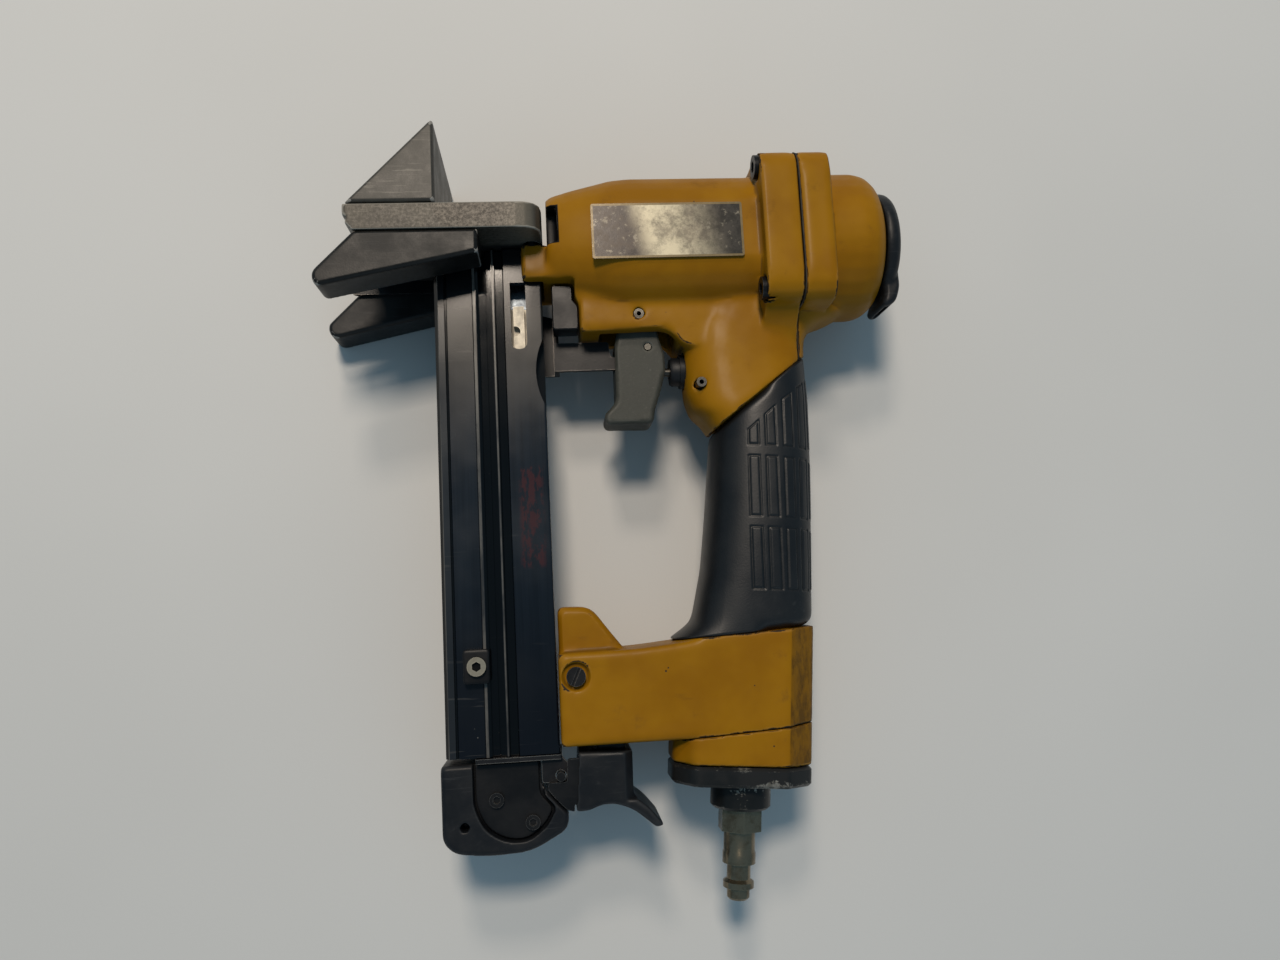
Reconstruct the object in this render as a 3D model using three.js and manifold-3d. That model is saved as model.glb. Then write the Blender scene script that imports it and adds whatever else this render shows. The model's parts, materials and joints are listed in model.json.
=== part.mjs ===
// Pneumatic floor stapler, lying on its side. Millimetres.
// X runs along the driver (the staple leaves towards -X), Y runs up the magazine and handle,
// Z is the width of the tool. Every dimension is taken from the middle plane z = 0.
import * as THREE from 'three';
import { mergeVertices } from 'three/addons/utils/BufferGeometryUtils.js';
import Module from 'manifold-3d';

const wasm = await Module();
wasm.setup();

// ---- driving dimensions -------------------------------------------------------------------
const FIT = 0.3;                  // gap left between two pieces that sit against each other
const DRIVER_Y = 88.6;            // height of the driver and cylinder axis

const SHOE_HALF = 32;             // half the width of the floor shoe and of the flange
const NOSE_TIP = -102;            // left end of the nose plate
const NOSE_END = -33;             // right end of the nose plate
const NOSE_LOW = 87.6;            // underside of the nose plate
const NOSE_HIGH = 97.2;           // top of the nose plate

const BARREL_R = 27;              // outer radius of the barrel
const BORE_R = 23.5;              // bore that takes the cylinder sleeve
const BUMPER_R = 19.6;            // outer radius of the piston bumper
const BARREL_LEFT = -31.3;        // front face of the barrel
const FLANGE_LEFT = 47;           // left face of the flange
const PARTING = 61;               // joint between the two flange halves
const FLANGE_RIGHT = 73;          // right face of the flange
const SEAM_HALF = 0.4;            // half the gap between the two flanges
const FLANGE_HALF_Y = 29;         // half height of the flange
const SCREW_OUT = 23.2;           // flange screws, distance from the axis in Y and in Z
const DOME_R = 28.4;              // radius of the cap dome
const BOSS_HALF = 14.5;           // half width of the trigger boss
const LEDGE_HALF = 17.2;          // half width of the front ledge, which straddles the magazine

const PIVOT = [1.6, 60.6];        // trigger pivot
const LEVER_PIN = [4.8, 49.3];    // pivot of the trip lever, in the trigger
const TRIGGER_HALF = 8.2;         // half width of the trigger
const TRIGGER_WALL = 1.8;         // thickness of its cheeks
const VALVE_Y = 41;               // height of the trigger valve axis
const VALVE_PIN = [23.2, 33.4];   // cross pin that holds the valve

const MAG_LEFT = -73.6;           // back of the magazine rail
const MAG_RIGHT = -34;            // right wall of the magazine
const MAG_HALF = 12;              // half thickness of the magazine
const MAG_LOW = -96.4;            // bottom end of the magazine
const MAG_HIGH = 84.8;            // top end of the rail
const CORE_HALF = 1.6;            // half thickness of the rail core the staples straddle
const CROWN_HALF = 2.75;          // half width of a staple crown
const CROWN_X = -36.4;            // outer face of the crowns
const LEG_END = -71.6;            // points of the staple legs

const LATCH_PIVOT = [-16, -84];   // pivot of the latch lever, inside the bracket
const LATCH_PIN = [-34, -104.2];  // pin of the rail that the latch hook holds

const HANDLE_TILT = THREE.MathUtils.degToRad(5);
const HANDLE_FOOT = [31.1, -112]; // centre of the end cap, where the handle's own axis starts
const RING_HALF = 17;             // half depth of the bracket and of the handle end
const RING_WALL = 3.4;            // wall of the bracket ring round the handle core
const SPIGOT_R = 11.4;            // radius of the spigot of the end cap
const SLEEVE_WALL = 3;            // thickness of the rubber
const BRACKET_LOW = -94.1;        // underside of the bracket
const SEAM_BEND = [8, 0.053];     // where that underside starts to rise to the right, and its slope
const RIM_LEFT = [8.2, -59.8];    // left end of the rim of the bracket ring, where the rubber starts
const RIM_RIGHT = [61.8, -57.2];  // right end of that rim

const ROUND = 20;                 // sides of a small round
const FINE = 32;                  // sides of a large round
const CURVE = 4;                  // straight pieces in a rounded corner

// ---- shapes -------------------------------------------------------------------------------

// Corners of an outline as [a, b, setback], put in anticlockwise order.
function anticlockwise(corners) {
  const area = THREE.ShapeUtils.area(corners.map(([a, b]) => new THREE.Vector2(a, b)));
  return area > 0 ? corners : [...corners].reverse();
}

// Points along a closed outline; a setback rounds its corner, held to half the shorter side.
function contour(corners) {
  return corners.flatMap(([a, b, setback = 0], i) => {
    const corner = new THREE.Vector2(a, b);
    const sides = [i + corners.length - 1, i + 1].map((k) => {
      const [c, d] = corners[k % corners.length];
      return new THREE.Vector2(c - a, d - b);
    });
    const reach = Math.min(setback, 0.48 * sides[0].length(), 0.48 * sides[1].length());
    if (reach === 0) {
      return [corner];
    }
    const [back, ahead] = sides.map((side) => side.setLength(reach).add(corner));
    return new THREE.QuadraticBezierCurve(back, corner, ahead).getPoints(CURVE);
  });
}

// The same outline with every side moved inwards.
function drawnIn(corners, distance) {
  return corners.map(([a, b, setback = 0], i) => {
    const [before, after] = [i + corners.length - 1, i + 1].map((k) => corners[k % corners.length]);
    const into = new THREE.Vector2(before[1] - b, a - before[0]).normalize();
    const away = new THREE.Vector2(b - after[1], after[0] - a).normalize();
    const shift = into.clone().add(away).multiplyScalar(distance / (1 + into.dot(away)));
    return [a + shift.x, b + shift.y, setback * 0.7];
  });
}

// Thick plate of an outline along the third axis, its two rims chamfered.
function extruded(corners, from, to, chamfer) {
  const order = anticlockwise(corners);
  const wide = contour(order);
  const narrow = chamfer > 0 ? contour(drawnIn(order, chamfer)) : wide;
  const levels = [[from, narrow], [to, narrow]];
  if (chamfer > 0) {
    levels.splice(1, 0, [from + chamfer, wide], [to - chamfer, wide]);
  }
  const rings = levels.map(([c, points]) => points.map((p) => new THREE.Vector3(p.x, p.y, c)));
  const lids = THREE.ShapeUtils.triangulateShape(narrow, []);
  return skin(rings, lids);
}

// Outline in X and Y, thick along Z.
function slab(corners, from, to, bevel = 0) {
  return extruded(corners, from, to, bevel);
}

// Outline in Y and Z, thick along X.
function across(corners, from, to, bevel = 0) {
  const basis = new THREE.Matrix4().makeBasis(
    new THREE.Vector3(0, 1, 0),
    new THREE.Vector3(0, 0, 1),
    new THREE.Vector3(1, 0, 0),
  );
  return extruded(corners, from, to, bevel).applyMatrix4(basis);
}

// Outline in X and Z, thick along Y.
function upright(corners, from, to, bevel = 0) {
  const swapped = corners.map(([x, z, setback]) => [z, x, setback]);
  const basis = new THREE.Matrix4().makeBasis(
    new THREE.Vector3(0, 0, 1),
    new THREE.Vector3(1, 0, 0),
    new THREE.Vector3(0, 1, 0),
  );
  return extruded(swapped, from, to, bevel).applyMatrix4(basis);
}

function block(x0, x1, y0, y1, z0, z1) {
  const geometry = new THREE.BoxGeometry(x1 - x0, y1 - y0, z1 - z0);
  return geometry.translate((x0 + x1) / 2, (y0 + y1) / 2, (z0 + z1) / 2);
}

// Corners of a rectangle with the same setback all round.
function rectangle(a0, a1, b0, b1, setback = 0) {
  return [[a0, b0, setback], [a1, b0, setback], [a1, b1, setback], [a0, b1, setback]];
}

// Outline above the centre line completed by its reflection below it.
function mirrored(half) {
  const below = half.map(([a, b, setback]) => [a, -b, setback]).reverse();
  return [...half, ...below];
}

// Solid of revolution. The profile is a list of [along, radius].
function turned(axis, centre, profile, sides = ROUND) {
  const points = profile.map(([along, radius]) => new THREE.Vector2(radius, along));
  const geometry = new THREE.LatheGeometry(points, sides);
  if (axis === 'x') {
    geometry.rotateZ(-Math.PI / 2);
  }
  if (axis === 'z') {
    geometry.rotateX(Math.PI / 2);
  }
  return geometry.translate(...centre);
}

function rod(axis, centre, from, to, radius, sides = ROUND) {
  return turned(axis, centre, [[from, 0], [from, radius], [to, radius], [to, 0]], sides);
}

function tube(axis, centre, from, to, inner, outer, sides = ROUND) {
  const profile = [[from, inner], [from, outer], [to, outer], [to, inner], [from, inner]];
  return turned(axis, centre, profile, sides);
}

// Hexagonal hole or head, measured across its flats.
function hexagon(axis, centre, from, to, flats) {
  return rod(axis, centre, from, to, flats / 2 / Math.cos(Math.PI / 6), 6);
}

// Skin over a row of rings of points. Each end is closed by the triangles in `lids`,
// or by a fan round its middle.
function skin(rings, lids = null) {
  const count = rings[0].length;
  const points = rings.flat();
  const faces = [];
  for (let row = 0; row + 1 < rings.length; row += 1) {
    for (let i = 0; i < count; i += 1) {
      const a = row * count + i;
      const b = row * count + (i + 1) % count;
      faces.push(a, b, a + count, b, b + count, a + count);
    }
  }
  for (const start of [0, (rings.length - 1) * count]) {
    const flip = start === 0;
    if (lids) {
      lids.forEach(([a, b, c]) => {
        faces.push(start + a, start + (flip ? c : b), start + (flip ? b : c));
      });
    } else {
      const middle = new THREE.Vector3();
      points.slice(start, start + count).forEach((p) => middle.addScaledVector(p, 1 / count));
      const hub = points.push(middle) - 1;
      for (let i = 0; i < count; i += 1) {
        const a = start + i;
        const b = start + (i + 1) % count;
        faces.push(...(flip ? [b, a] : [a, b]), hub);
      }
    }
  }
  const geometry = new THREE.BufferGeometry().setFromPoints(points);
  geometry.setIndex(faces);
  return geometry;
}

// Rounded-square ring: a circle when the power is 2, squarer above that.
function ring(at, centreA, centreB, halfA, halfB, power, sides) {
  const points = [];
  for (let i = 0; i < sides; i += 1) {
    const turn = (2 * Math.PI * i) / sides;
    const c = Math.cos(turn);
    const s = Math.sin(turn);
    const a = centreA + halfA * Math.sign(c) * Math.abs(c) ** (2 / power);
    const b = centreB + halfB * Math.sign(s) * Math.abs(s) ** (2 / power);
    points.push(at(a, b));
  }
  return points;
}

// Round wire wound into a coil along an axis.
function coil(axis, centre, from, to, radius, wire, turns) {
  const steps = Math.round(turns * 8);
  const section = 4;
  const rings = [];
  for (let i = 0; i <= steps; i += 1) {
    const along = from + wire + ((to - from - 2 * wire) * i) / steps;
    const angle = (2 * Math.PI * turns * i) / steps;
    const points = [];
    for (let k = 0; k < section; k += 1) {
      const round = (2 * Math.PI * k) / section;
      const out = radius + wire * Math.cos(round);
      const up = along + wire * Math.sin(round);
      points.push(new THREE.Vector3(out * Math.cos(angle), up, out * Math.sin(angle)));
    }
    rings.push(points);
  }
  const geometry = skin(rings);
  if (axis === 'x') {
    geometry.rotateZ(-Math.PI / 2);
  }
  return geometry.translate(...centre);
}

// ---- solids -------------------------------------------------------------------------------

function solidOf(source) {
  if (source instanceof wasm.Manifold) {
    return source;
  }
  let geometry = source.clone();
  geometry.deleteAttribute('normal');
  geometry.deleteAttribute('uv');
  geometry = mergeVertices(geometry, 1e-4);
  const index = geometry.index.array;
  const triangles = [];
  for (let i = 0; i < index.length; i += 3) {
    const [a, b, c] = [index[i], index[i + 1], index[i + 2]];
    if (a !== b && b !== c && a !== c) {
      triangles.push(a, b, c);
    }
  }
  const corners = geometry.attributes.position.array;
  const make = (order) => new wasm.Manifold(new wasm.Mesh({
    numProp: 3,
    vertProperties: new Float32Array(corners),
    triVerts: new Uint32Array(order),
  }));
  const solid = make(triangles);
  return solid.volume() > 0 ? solid : make(triangles.reverse());
}

function join(...pieces) {
  return pieces.map(solidOf).reduce((sum, piece) => sum.add(piece));
}

function cut(body, ...pieces) {
  return pieces.map(solidOf).reduce((rest, piece) => rest.subtract(piece), solidOf(body));
}

function common(body, piece) {
  return solidOf(body).intersect(solidOf(piece));
}

function geometryOf(solid) {
  const mesh = solid.getMesh();
  const geometry = new THREE.BufferGeometry();
  geometry.setAttribute('position', new THREE.BufferAttribute(mesh.vertProperties.slice(), 3));
  geometry.setIndex([...mesh.triVerts]);
  return geometry;
}

const finishes = {
  yellow: { color: 0xc9810f, roughness: 0.42, metalness: 0.1 },
  rubber: { color: 0x1b1c1f, roughness: 0.75, metalness: 0 },
  black: { color: 0x17181b, roughness: 0.45, metalness: 0.3 },
  plastic: { color: 0x202124, roughness: 0.55, metalness: 0 },
  steel: { color: 0xb4b0a8, roughness: 0.3, metalness: 1 },
  cast: { color: 0x5c5d5f, roughness: 0.5, metalness: 0.7 },
  plate: { color: 0x2c2a2a, roughness: 0.35, metalness: 0.4 },
  seal: { color: 0x33302c, roughness: 0.8, metalness: 0 },
};

const tool = new THREE.Group();
tool.name = 'floor_stapler';

function place(name, finish, piece) {
  const mesh = new THREE.Mesh(
    geometryOf(solidOf(piece)),
    new THREE.MeshStandardMaterial(finishes[finish]),
  );
  mesh.name = name;
  tool.add(mesh);
}

// Moves a piece from the handle's own axes (origin at its foot, Y along it) to the tool's.
function onHandle(geometry) {
  return geometry.rotateZ(-HANDLE_TILT).translate(...HANDLE_FOOT, 0);
}

// ---- handle -------------------------------------------------------------------------------

// Handle skin from its foot up, drawn in by `inset`: stations [along, left, right, half depth,
// squareness].
function handleBody(stations, inset) {
  const rings = stations.map(([along, left, right, depth, power]) => ring(
    (a, b) => new THREE.Vector3(a, along, -b),
    (left + right) / 2,
    0,
    (right - left) / 2 - inset,
    depth - inset,
    power,
    32,
  ));
  return onHandle(skin(rings));
}

const gripStations = [
  [40, -26.2, 24.8, 17.4, 3.6],
  [50.4, -27.5, 24.8, 17.4, 3.6],
  [53.2, -23.8, 24.7, 17.5, 3.4],
  [56.6, -19.8, 24.6, 17.8, 3.2],
  [61, -19, 24.5, 18.2, 2.8],
  [76, -16.8, 24.3, 18.8, 2.5],
  [95, -15.8, 24, 19, 2.4],
  [118, -15, 23.3, 19, 2.4],
  [140, -14.2, 22.1, 18.6, 2.4],
  [161, -13.8, 19.7, 18.3, 2.4],
  [176, -13.6, 17.6, 18, 2.4],
];

// Everything below a line through two points, or above it when `limit` is a height over it.
function beside(low, high, limit) {
  const slope = (high[1] - low[1]) / (high[0] - low[0]);
  const edge = (x) => low[1] + slope * (x - low[0]);
  return slab([[-60, limit], [120, limit], [120, edge(120)], [-60, edge(-60)]], -60, 60);
}

// Everything on the handle side of the sloping edge where the rubber stops.
function belowCollar(shift) {
  return beside([26.2 + shift, 14.9 - shift], [62.2 + shift, 42 - shift], -200);
}

// Everything over, or under, the rim of the bracket ring.
function pastRim(shift, limit) {
  const [low, high] = [RIM_LEFT, RIM_RIGHT].map(([x, y]) => [x, y + shift]);
  return beside(low, high, limit);
}

// Outline of the bracket ring and of the handle end, across the handle and in Z.
const ringOutline = [
  [-26.2, -8, 3],
  [-19, -RING_HALF, 4],
  [14.2, -RING_HALF, 1.5],
  [24.4, -9, 3],
  [24.4, 9, 3],
  [14.2, RING_HALF, 1.5],
  [-19, RING_HALF, 4],
  [-26.2, 8, 3],
];

// Block of that outline along the handle, drawn in by `inset`.
function ringBlock(inset, from, to, bevel = 0) {
  return onHandle(upright(drawnIn(ringOutline, inset), from, to, bevel));
}

function rubberGrip() {
  const outside = common(handleBody(gripStations, 0), belowCollar(FIT / 2));
  return cut(common(outside, pastRim(FIT, 200)), handleBody(gripStations, SLEEVE_WALL));
}

// ---- yellow castings ----------------------------------------------------------------------

function barrel() {
  const stations = [
    [BARREL_LEFT, 19.5],
    [BARREL_LEFT + 1.5, 20.8],
    [-22, 23],
    [-7, 26.4],
    [0, BARREL_R],
    [FLANGE_LEFT + 1, BARREL_R],
  ];
  return skin(stations.map(([x, radius]) => ring(
    (a, b) => new THREE.Vector3(x, a, b),
    DRIVER_Y,
    0,
    radius,
    radius,
    2.25,
    FINE,
  )));
}

function flange(from, to, bevel) {
  const corners = rectangle(
    DRIVER_Y - FLANGE_HALF_Y,
    DRIVER_Y + FLANGE_HALF_Y,
    -SHOE_HALF,
    SHOE_HALF,
    11,
  );
  return across(corners, from, to, bevel);
}

// Calls a function with the Y and Z of each of the four flange screws.
function atFlangeScrews(make) {
  const spots = [];
  for (const y of [DRIVER_Y + SCREW_OUT, DRIVER_Y - SCREW_OUT]) {
    for (const z of [SCREW_OUT + 1.4, -SCREW_OUT - 1.4]) {
      spots.push(make(y, z));
    }
  }
  return spots;
}

// Neck between the barrel and the rubber: stations [y, left, right, half depth]. The part of it
// to the right of the parting plane belongs to the cap.
function neck() {
  const stations = [
    [4, 30.5, 65.2, 18.4],
    [15, 28, 65.6, 18.8],
    [20.5, 24.5, 65.8, 18.8],
    [24.5, 20.4, 65.8, 18.4],
    [30, 18.6, 65.7, 17.8],
    [42, 17.8, 65.2, 16.8],
    [47, 17.7, 65, 16.6],
    [51, 17.6, 65.9, 16.4],
    [54.5, 17.5, 68, 16.2],
    [57, 17.4, 71.6, 16.1],
    [58.8, 17.4, 77.6, 16],
    [60.6, 17.4, 81, 16],
    [68, 17.4, 81, 16],
  ];
  const rings = stations.map(([y, left, right, depth]) => ring(
    (a, b) => new THREE.Vector3(a, y, -b),
    (left + right) / 2,
    0,
    (right - left) / 2,
    depth,
    3,
    32,
  ));
  return cut(skin(rings), belowCollar(-FIT / 2));
}

// Web that carries the underside of the flange into the neck.
function gusset() {
  const half = [[43, 0], [43, 11.8], [50, 13.8, 4], [55.5, 17.4, 4], [60.6, 23.4, 4], [68, 30]];
  return across(mirrored(half), FLANGE_LEFT + 0.6, PARTING - SEAM_HALF);
}

// What lies between two planes across the driver.
function between(piece, from, to) {
  return common(piece, block(from, to, -60, 160, -60, 60));
}

// Front ledge the nose plate is screwed to.
function ledge() {
  return slab([
    [-41, 73.8, 2],
    [-20, 73.8],
    [-20, 87.1],
    [-41, 87.1, 1],
  ], -LEDGE_HALF, LEDGE_HALF, 1.2);
}

function triggerBoss() {
  return slab([
    [-32, 73.8],
    [-30, 73.8, 6],
    [-20.4, 66.5, 3],
    [-20.4, 54.2, 2],
    [12.5, 54.6, 4],
    [17.4, 48, 3],
    [34, 44],
    [34, 82],
    [-32, 86],
  ], -BOSS_HALF, BOSS_HALF, 1.2);
}

function triggerSlot() {
  const half = TRIGGER_HALF + 0.6;
  return join(
    block(-13, 15.5, 40, 66.6, -half, half),
    block(10, 18.5, 40, 49.5, -half, half),
  );
}

function handleBores() {
  const chamber = turned('y', [2, 0, 0], [
    [4, 0],
    [4, 10.2],
    [60, 10.2],
    [80, 12],
    [150, 12],
    [168, 9],
    [168, 0],
  ]);
  return join(
    onHandle(chamber),
    onHandle(rod('y', [0, 0, 0], 0, 14, SPIGOT_R + 0.4)),
  );
}

function mainHousing() {
  const ledgeThreads = ledgeScrewSpots.map(([x, z]) => rod('y', [x, 0, z], 76, 92, 1.8, 16));
  const holes = atFlangeScrews((y, z) => join(
    rod('x', [0, y, z], FLANGE_LEFT - 1, PARTING + 1, 2.6, 16),
    rod('x', [0, y, z], FLANGE_LEFT - 1, FLANGE_LEFT + 4, 4.7, 16),
  ));
  const core = common(handleBody(gripStations, SLEEVE_WALL + FIT), pastRim(FIT, 200));
  const foot = common(ringBlock(RING_WALL + FIT, 10.1, 64), pastRim(0, -200));
  const waist = onHandle(rod('y', [2, 0, 0], 40, 66, 12.4));
  const body = join(
    barrel(),
    flange(FLANGE_LEFT, PARTING - SEAM_HALF, 1),
    ledge(),
    triggerBoss(),
    between(join(neck(), core), -60, PARTING - SEAM_HALF),
    gusset(),
    foot,
    waist,
  );
  return cut(
    body,
    rod('x', [0, DRIVER_Y, 0], -18, 0, BUMPER_R + FIT, FINE),
    rod('x', [0, DRIVER_Y, 0], -8.3, PARTING + 1, BORE_R, FINE),
    block(-60, -21.9, 50, 73.6, -60, 60),
    block(-60, -15, DRIVER_Y - 1.3, DRIVER_Y + 1.3, -3.7, 3.7),
    block(-60, -33.4, 60, 90, -MAG_HALF - 0.35, MAG_HALF + 0.35),
    block(-32, -27.4, 86, 101, 9.5, 30),
    rod('x', [0, 94, 15], -32, -21, 1.8, 16),
    block(-16, FLANGE_LEFT + 0.2, 76.6, 98.7, 25.4, 30),
    triggerSlot(),
    handleBores(),
    rod('x', [0, VALVE_Y, 0], 10, 40, 6.9),
    rod('z', [...PIVOT, 0], -20, 20, 2.15, 16),
    rod('z', [...VALVE_PIN, 0], -20, 20, 2.15, 16),
    rod('x', [0, 63.5, -8.5], -22, -14.2, 2.9, 16),
    ...ledgeThreads,
    ...holes,
  );
}

function cylinderCap() {
  const dome = turned('x', [0, DRIVER_Y, 0], [
    [FLANGE_RIGHT - 1, 0],
    [FLANGE_RIGHT - 1, DOME_R],
    [86.6, DOME_R],
    [90.8, DOME_R - 1.2],
    [93.8, DOME_R - 3.7],
    [95.5, DOME_R - 7],
    [96.4, DOME_R - 11.4],
    [96.8, DOME_R - 16.4],
    [96.8, 0],
  ], FINE);
  const inside = turned('x', [0, DRIVER_Y, 0], [
    [PARTING, 0],
    [PARTING, BORE_R + 0.7],
    [85.8, BORE_R + 0.7],
    [89.6, BORE_R - 4],
    [92, BORE_R - 9],
    [92, 0],
  ], FINE);
  const threads = atFlangeScrews((y, z) => rod('x', [0, y, z], PARTING, 72, 2.6, 16));
  return cut(
    join(
      dome,
      flange(PARTING + SEAM_HALF, FLANGE_RIGHT, 1),
      between(neck(), PARTING + SEAM_HALF, 84),
    ),
    inside,
    rod('x', [0, DRIVER_Y, 0], 90, 100, 8),
    ...threads,
  );
}

function capGasket() {
  const sheet = join(
    flange(PARTING - 0.2, PARTING + 0.2, 0),
    between(neck(), PARTING - 0.2, PARTING + 0.2),
  );
  const holes = atFlangeScrews((y, z) => rod('x', [0, y, z], PARTING - 2, PARTING + 2, 2.9, 16));
  return cut(sheet, rod('x', [0, DRIVER_Y, 0], PARTING - 2, PARTING + 2, BORE_R + 0.7), ...holes);
}

function capScrew(y, z) {
  const centre = [0, y, z];
  const head = FLANGE_LEFT - 1.4;
  const shape = join(
    rod('x', centre, head, head + 5, 4.3, 16),
    rod('x', centre, head + 4, 71.5, 2.3, 12),
  );
  return cut(shape, hexagon('x', centre, head - 1, head + 2.6, 4));
}

function exhaustDeflector() {
  const dish = turned('x', [0, DRIVER_Y, 0], [
    [97.1, 0],
    [97.1, 17],
    [96.6, 20],
    [97.6, 20.9],
    [99.8, 20.8],
    [101.8, 19.4],
    [103.2, 16],
    [104, 9.6],
    [104.2, 0],
  ], FINE);
  const spout = slab([
    [97.1, 74],
    [97.1, 66.8, 1],
    [95.8, 63.6, 1.5],
    [97.8, 61.9, 1.5],
    [101.6, 64, 2],
    [103.6, 70, 2],
    [103.4, 76],
  ], -11, 11, 1.2);
  const chamber = turned('x', [0, DRIVER_Y, 0], [
    [96.4, 0],
    [96.4, 12.5],
    [99, 15.5],
    [100.4, 12],
    [101, 0],
  ]);
  return cut(join(dish, spout), chamber, slab([
    [97.8, 58],
    [100.2, 58],
    [100.6, 84],
    [98.2, 84],
  ], -8, 8));
}

// ---- cylinder -----------------------------------------------------------------------------

function piston() {
  return turned('x', [0, DRIVER_Y, 0], [
    [59.3, 0],
    [59.3, 19],
    [61.6, 19],
    [61.6, 15.8],
    [65.2, 15.8],
    [65.2, 19],
    [67.5, 19],
    [67.5, 8],
    [64, 8],
    [64, 0],
  ], FINE);
}

function headValve() {
  return turned('x', [0, DRIVER_Y, 0], [
    [72.8, 12],
    [72.8, 22.6],
    [74.5, 23.7],
    [81, 23.7],
    [81, 20.5],
    [77, 20.5],
    [77, 9],
    [75.4, 9],
    [72.8, 12],
  ], FINE);
}

// ---- trigger ------------------------------------------------------------------------------

function trigger() {
  const outside = slab([
    [-4.6, 65.4, 4],
    [7, 65.4, 4],
    [9.4, 52],
    [11.1, 46],
    [11.1, 40],
    [9, 32.5],
    [6.3, 25],
    [5.6, 20, 2.5],
    [-12, 20.4, 2],
    [-12.8, 24, 2],
    [-8, 28.4, 3],
    [-7.6, 50],
  ], -TRIGGER_HALF, TRIGGER_HALF, 1);
  const inner = TRIGGER_HALF - TRIGGER_WALL;
  const hollow = slab([
    [-30, 41.4],
    [-4.8, 41.4],
    [-4.8, 25.4, 2],
    [3, 25.4, 2],
    [20, 29],
    [20, 80],
    [-30, 80],
  ], -inner, inner);
  return cut(
    outside,
    hollow,
    rod('z', [...PIVOT, 0], -20, 20, 2.15, 16),
    rod('z', [...LEVER_PIN, 0], -20, 20, 1.55, 16),
  );
}

function tripLever() {
  const [x, y] = LEVER_PIN;
  const plate = slab([
    [x - 2.4, y + 2.6, 1.5],
    [x + 2.4, y + 2.6, 1.5],
    [x + 2, y - 10.4, 1],
    [x - 0.6, y - 11, 0.8],
    [x - 2, y - 6],
  ], -4.6, 4.6, 0.5);
  return cut(plate, rod('z', [x, y, 0], -10, 10, 1.55, 16));
}

function valveBody() {
  return turned('x', [0, VALVE_Y, 0], [
    [13.4, 2.3],
    [13.4, 4.9],
    [14.4, 5.5],
    [17, 5.5],
    [17, 6.5],
    [21, 6.5],
    [21, 5],
    [25.4, 5],
    [25.4, 6.5],
    [34, 6.5],
    [34, 2.3],
    [13.4, 2.3],
  ]);
}

// ---- nose and floor shoe ------------------------------------------------------------------

// Places on the shoe where a foot screw goes through the nose plate: X and Z.
const upperScrews = [[-79, -20], [-79, 20]];
const lowerScrews = [[-66, -23.4], [-66, 23.4]];
const ledgeScrewSpots = [[-37, -14.7], [-37, 14.7]];

function nosePlate() {
  const plate = upright([
    [NOSE_TIP, -SHOE_HALF, 1],
    [NOSE_END, -SHOE_HALF, 9],
    [NOSE_END, SHOE_HALF, 9],
    [NOSE_TIP, SHOE_HALF, 1],
  ], NOSE_LOW, NOSE_HIGH);
  const notch = slab([
    [NOSE_TIP - 2, 94],
    [NOSE_TIP + 1.8, 92.3],
    [NOSE_TIP + 0.8, 90.4],
    [NOSE_TIP + 3.6, NOSE_LOW - 0.2],
    [NOSE_TIP - 2, NOSE_LOW - 0.2],
  ], -40, 40);
  const holes = [...upperScrews, ...lowerScrews, ...ledgeScrewSpots].map(
    ([x, z]) => rod('y', [x, 0, z], 80, 110, 2.6, 16),
  );
  const sinks = [...lowerScrews, ...ledgeScrewSpots].map(
    ([x, z]) => rod('y', [x, 0, z], NOSE_HIGH - 3.4, 110, 4.4, 16),
  );
  const lowSinks = upperScrews.map(
    ([x, z]) => rod('y', [x, 0, z], 80, NOSE_LOW + 3.4, 4.4, 16),
  );
  const guide = slab(rectangle(-98, -75.2, 83.6, NOSE_LOW + 1, 1), -11.6, 11.6);
  const channel = block(-110, -20, NOSE_LOW - 1, DRIVER_Y + 1, -3.2, 3.2);
  return cut(join(plate, guide), notch, channel, ...holes, ...sinks, ...lowSinks);
}

// Socket-head screw standing along Y with its head at the top or, turned over, at the bottom.
function noseScrew(x, z, head, point, size) {
  const up = Math.sign(head - point);
  const centre = [x, 0, z];
  const span = (a, b) => [Math.min(a, b), Math.max(a, b)];
  const shape = join(
    rod('y', centre, ...span(head, head - up * 3), size * 1.75, 16),
    rod('y', centre, ...span(head - up * 2, point), size, 12),
  );
  return cut(shape, hexagon('y', centre, ...span(head + up, head - up * 1.8), size * 1.7));
}

function subfloorFoot() {
  const base = NOSE_HIGH + FIT;
  const back = -69.9;
  const front = NOSE_TIP + 0.7;
  const wedge = slab([
    [front, base],
    [back, base],
    [back, base + back - front, 2.5],
  ], -SHOE_HALF, SHOE_HALF, 0.8);
  const threads = upperScrews.map(([x, z]) => rod('y', [x, 0, z], 90, 112, 2.6, 16));
  return cut(wedge, ...threads);
}

// A prong under the nose plate; its sloping face lies on the plank.
function plankFoot(reach, drop, rise, z0, z1) {
  const top = NOSE_LOW - FIT;
  const front = NOSE_TIP + 3.6;
  const back = -55.4;
  const prong = slab([
    [front, top],
    [front - reach, top - reach, 3],
    [front - reach + drop, top - reach - 5, 2.5],
    [back, top - rise],
    [back, top],
  ], z0, z1, 1);
  const spot = lowerScrews.find(([, z]) => z > z0 && z < z1);
  return cut(prong, rod('y', [spot[0], 0, spot[1]], 79, 92, 2.6, 16));
}

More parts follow.
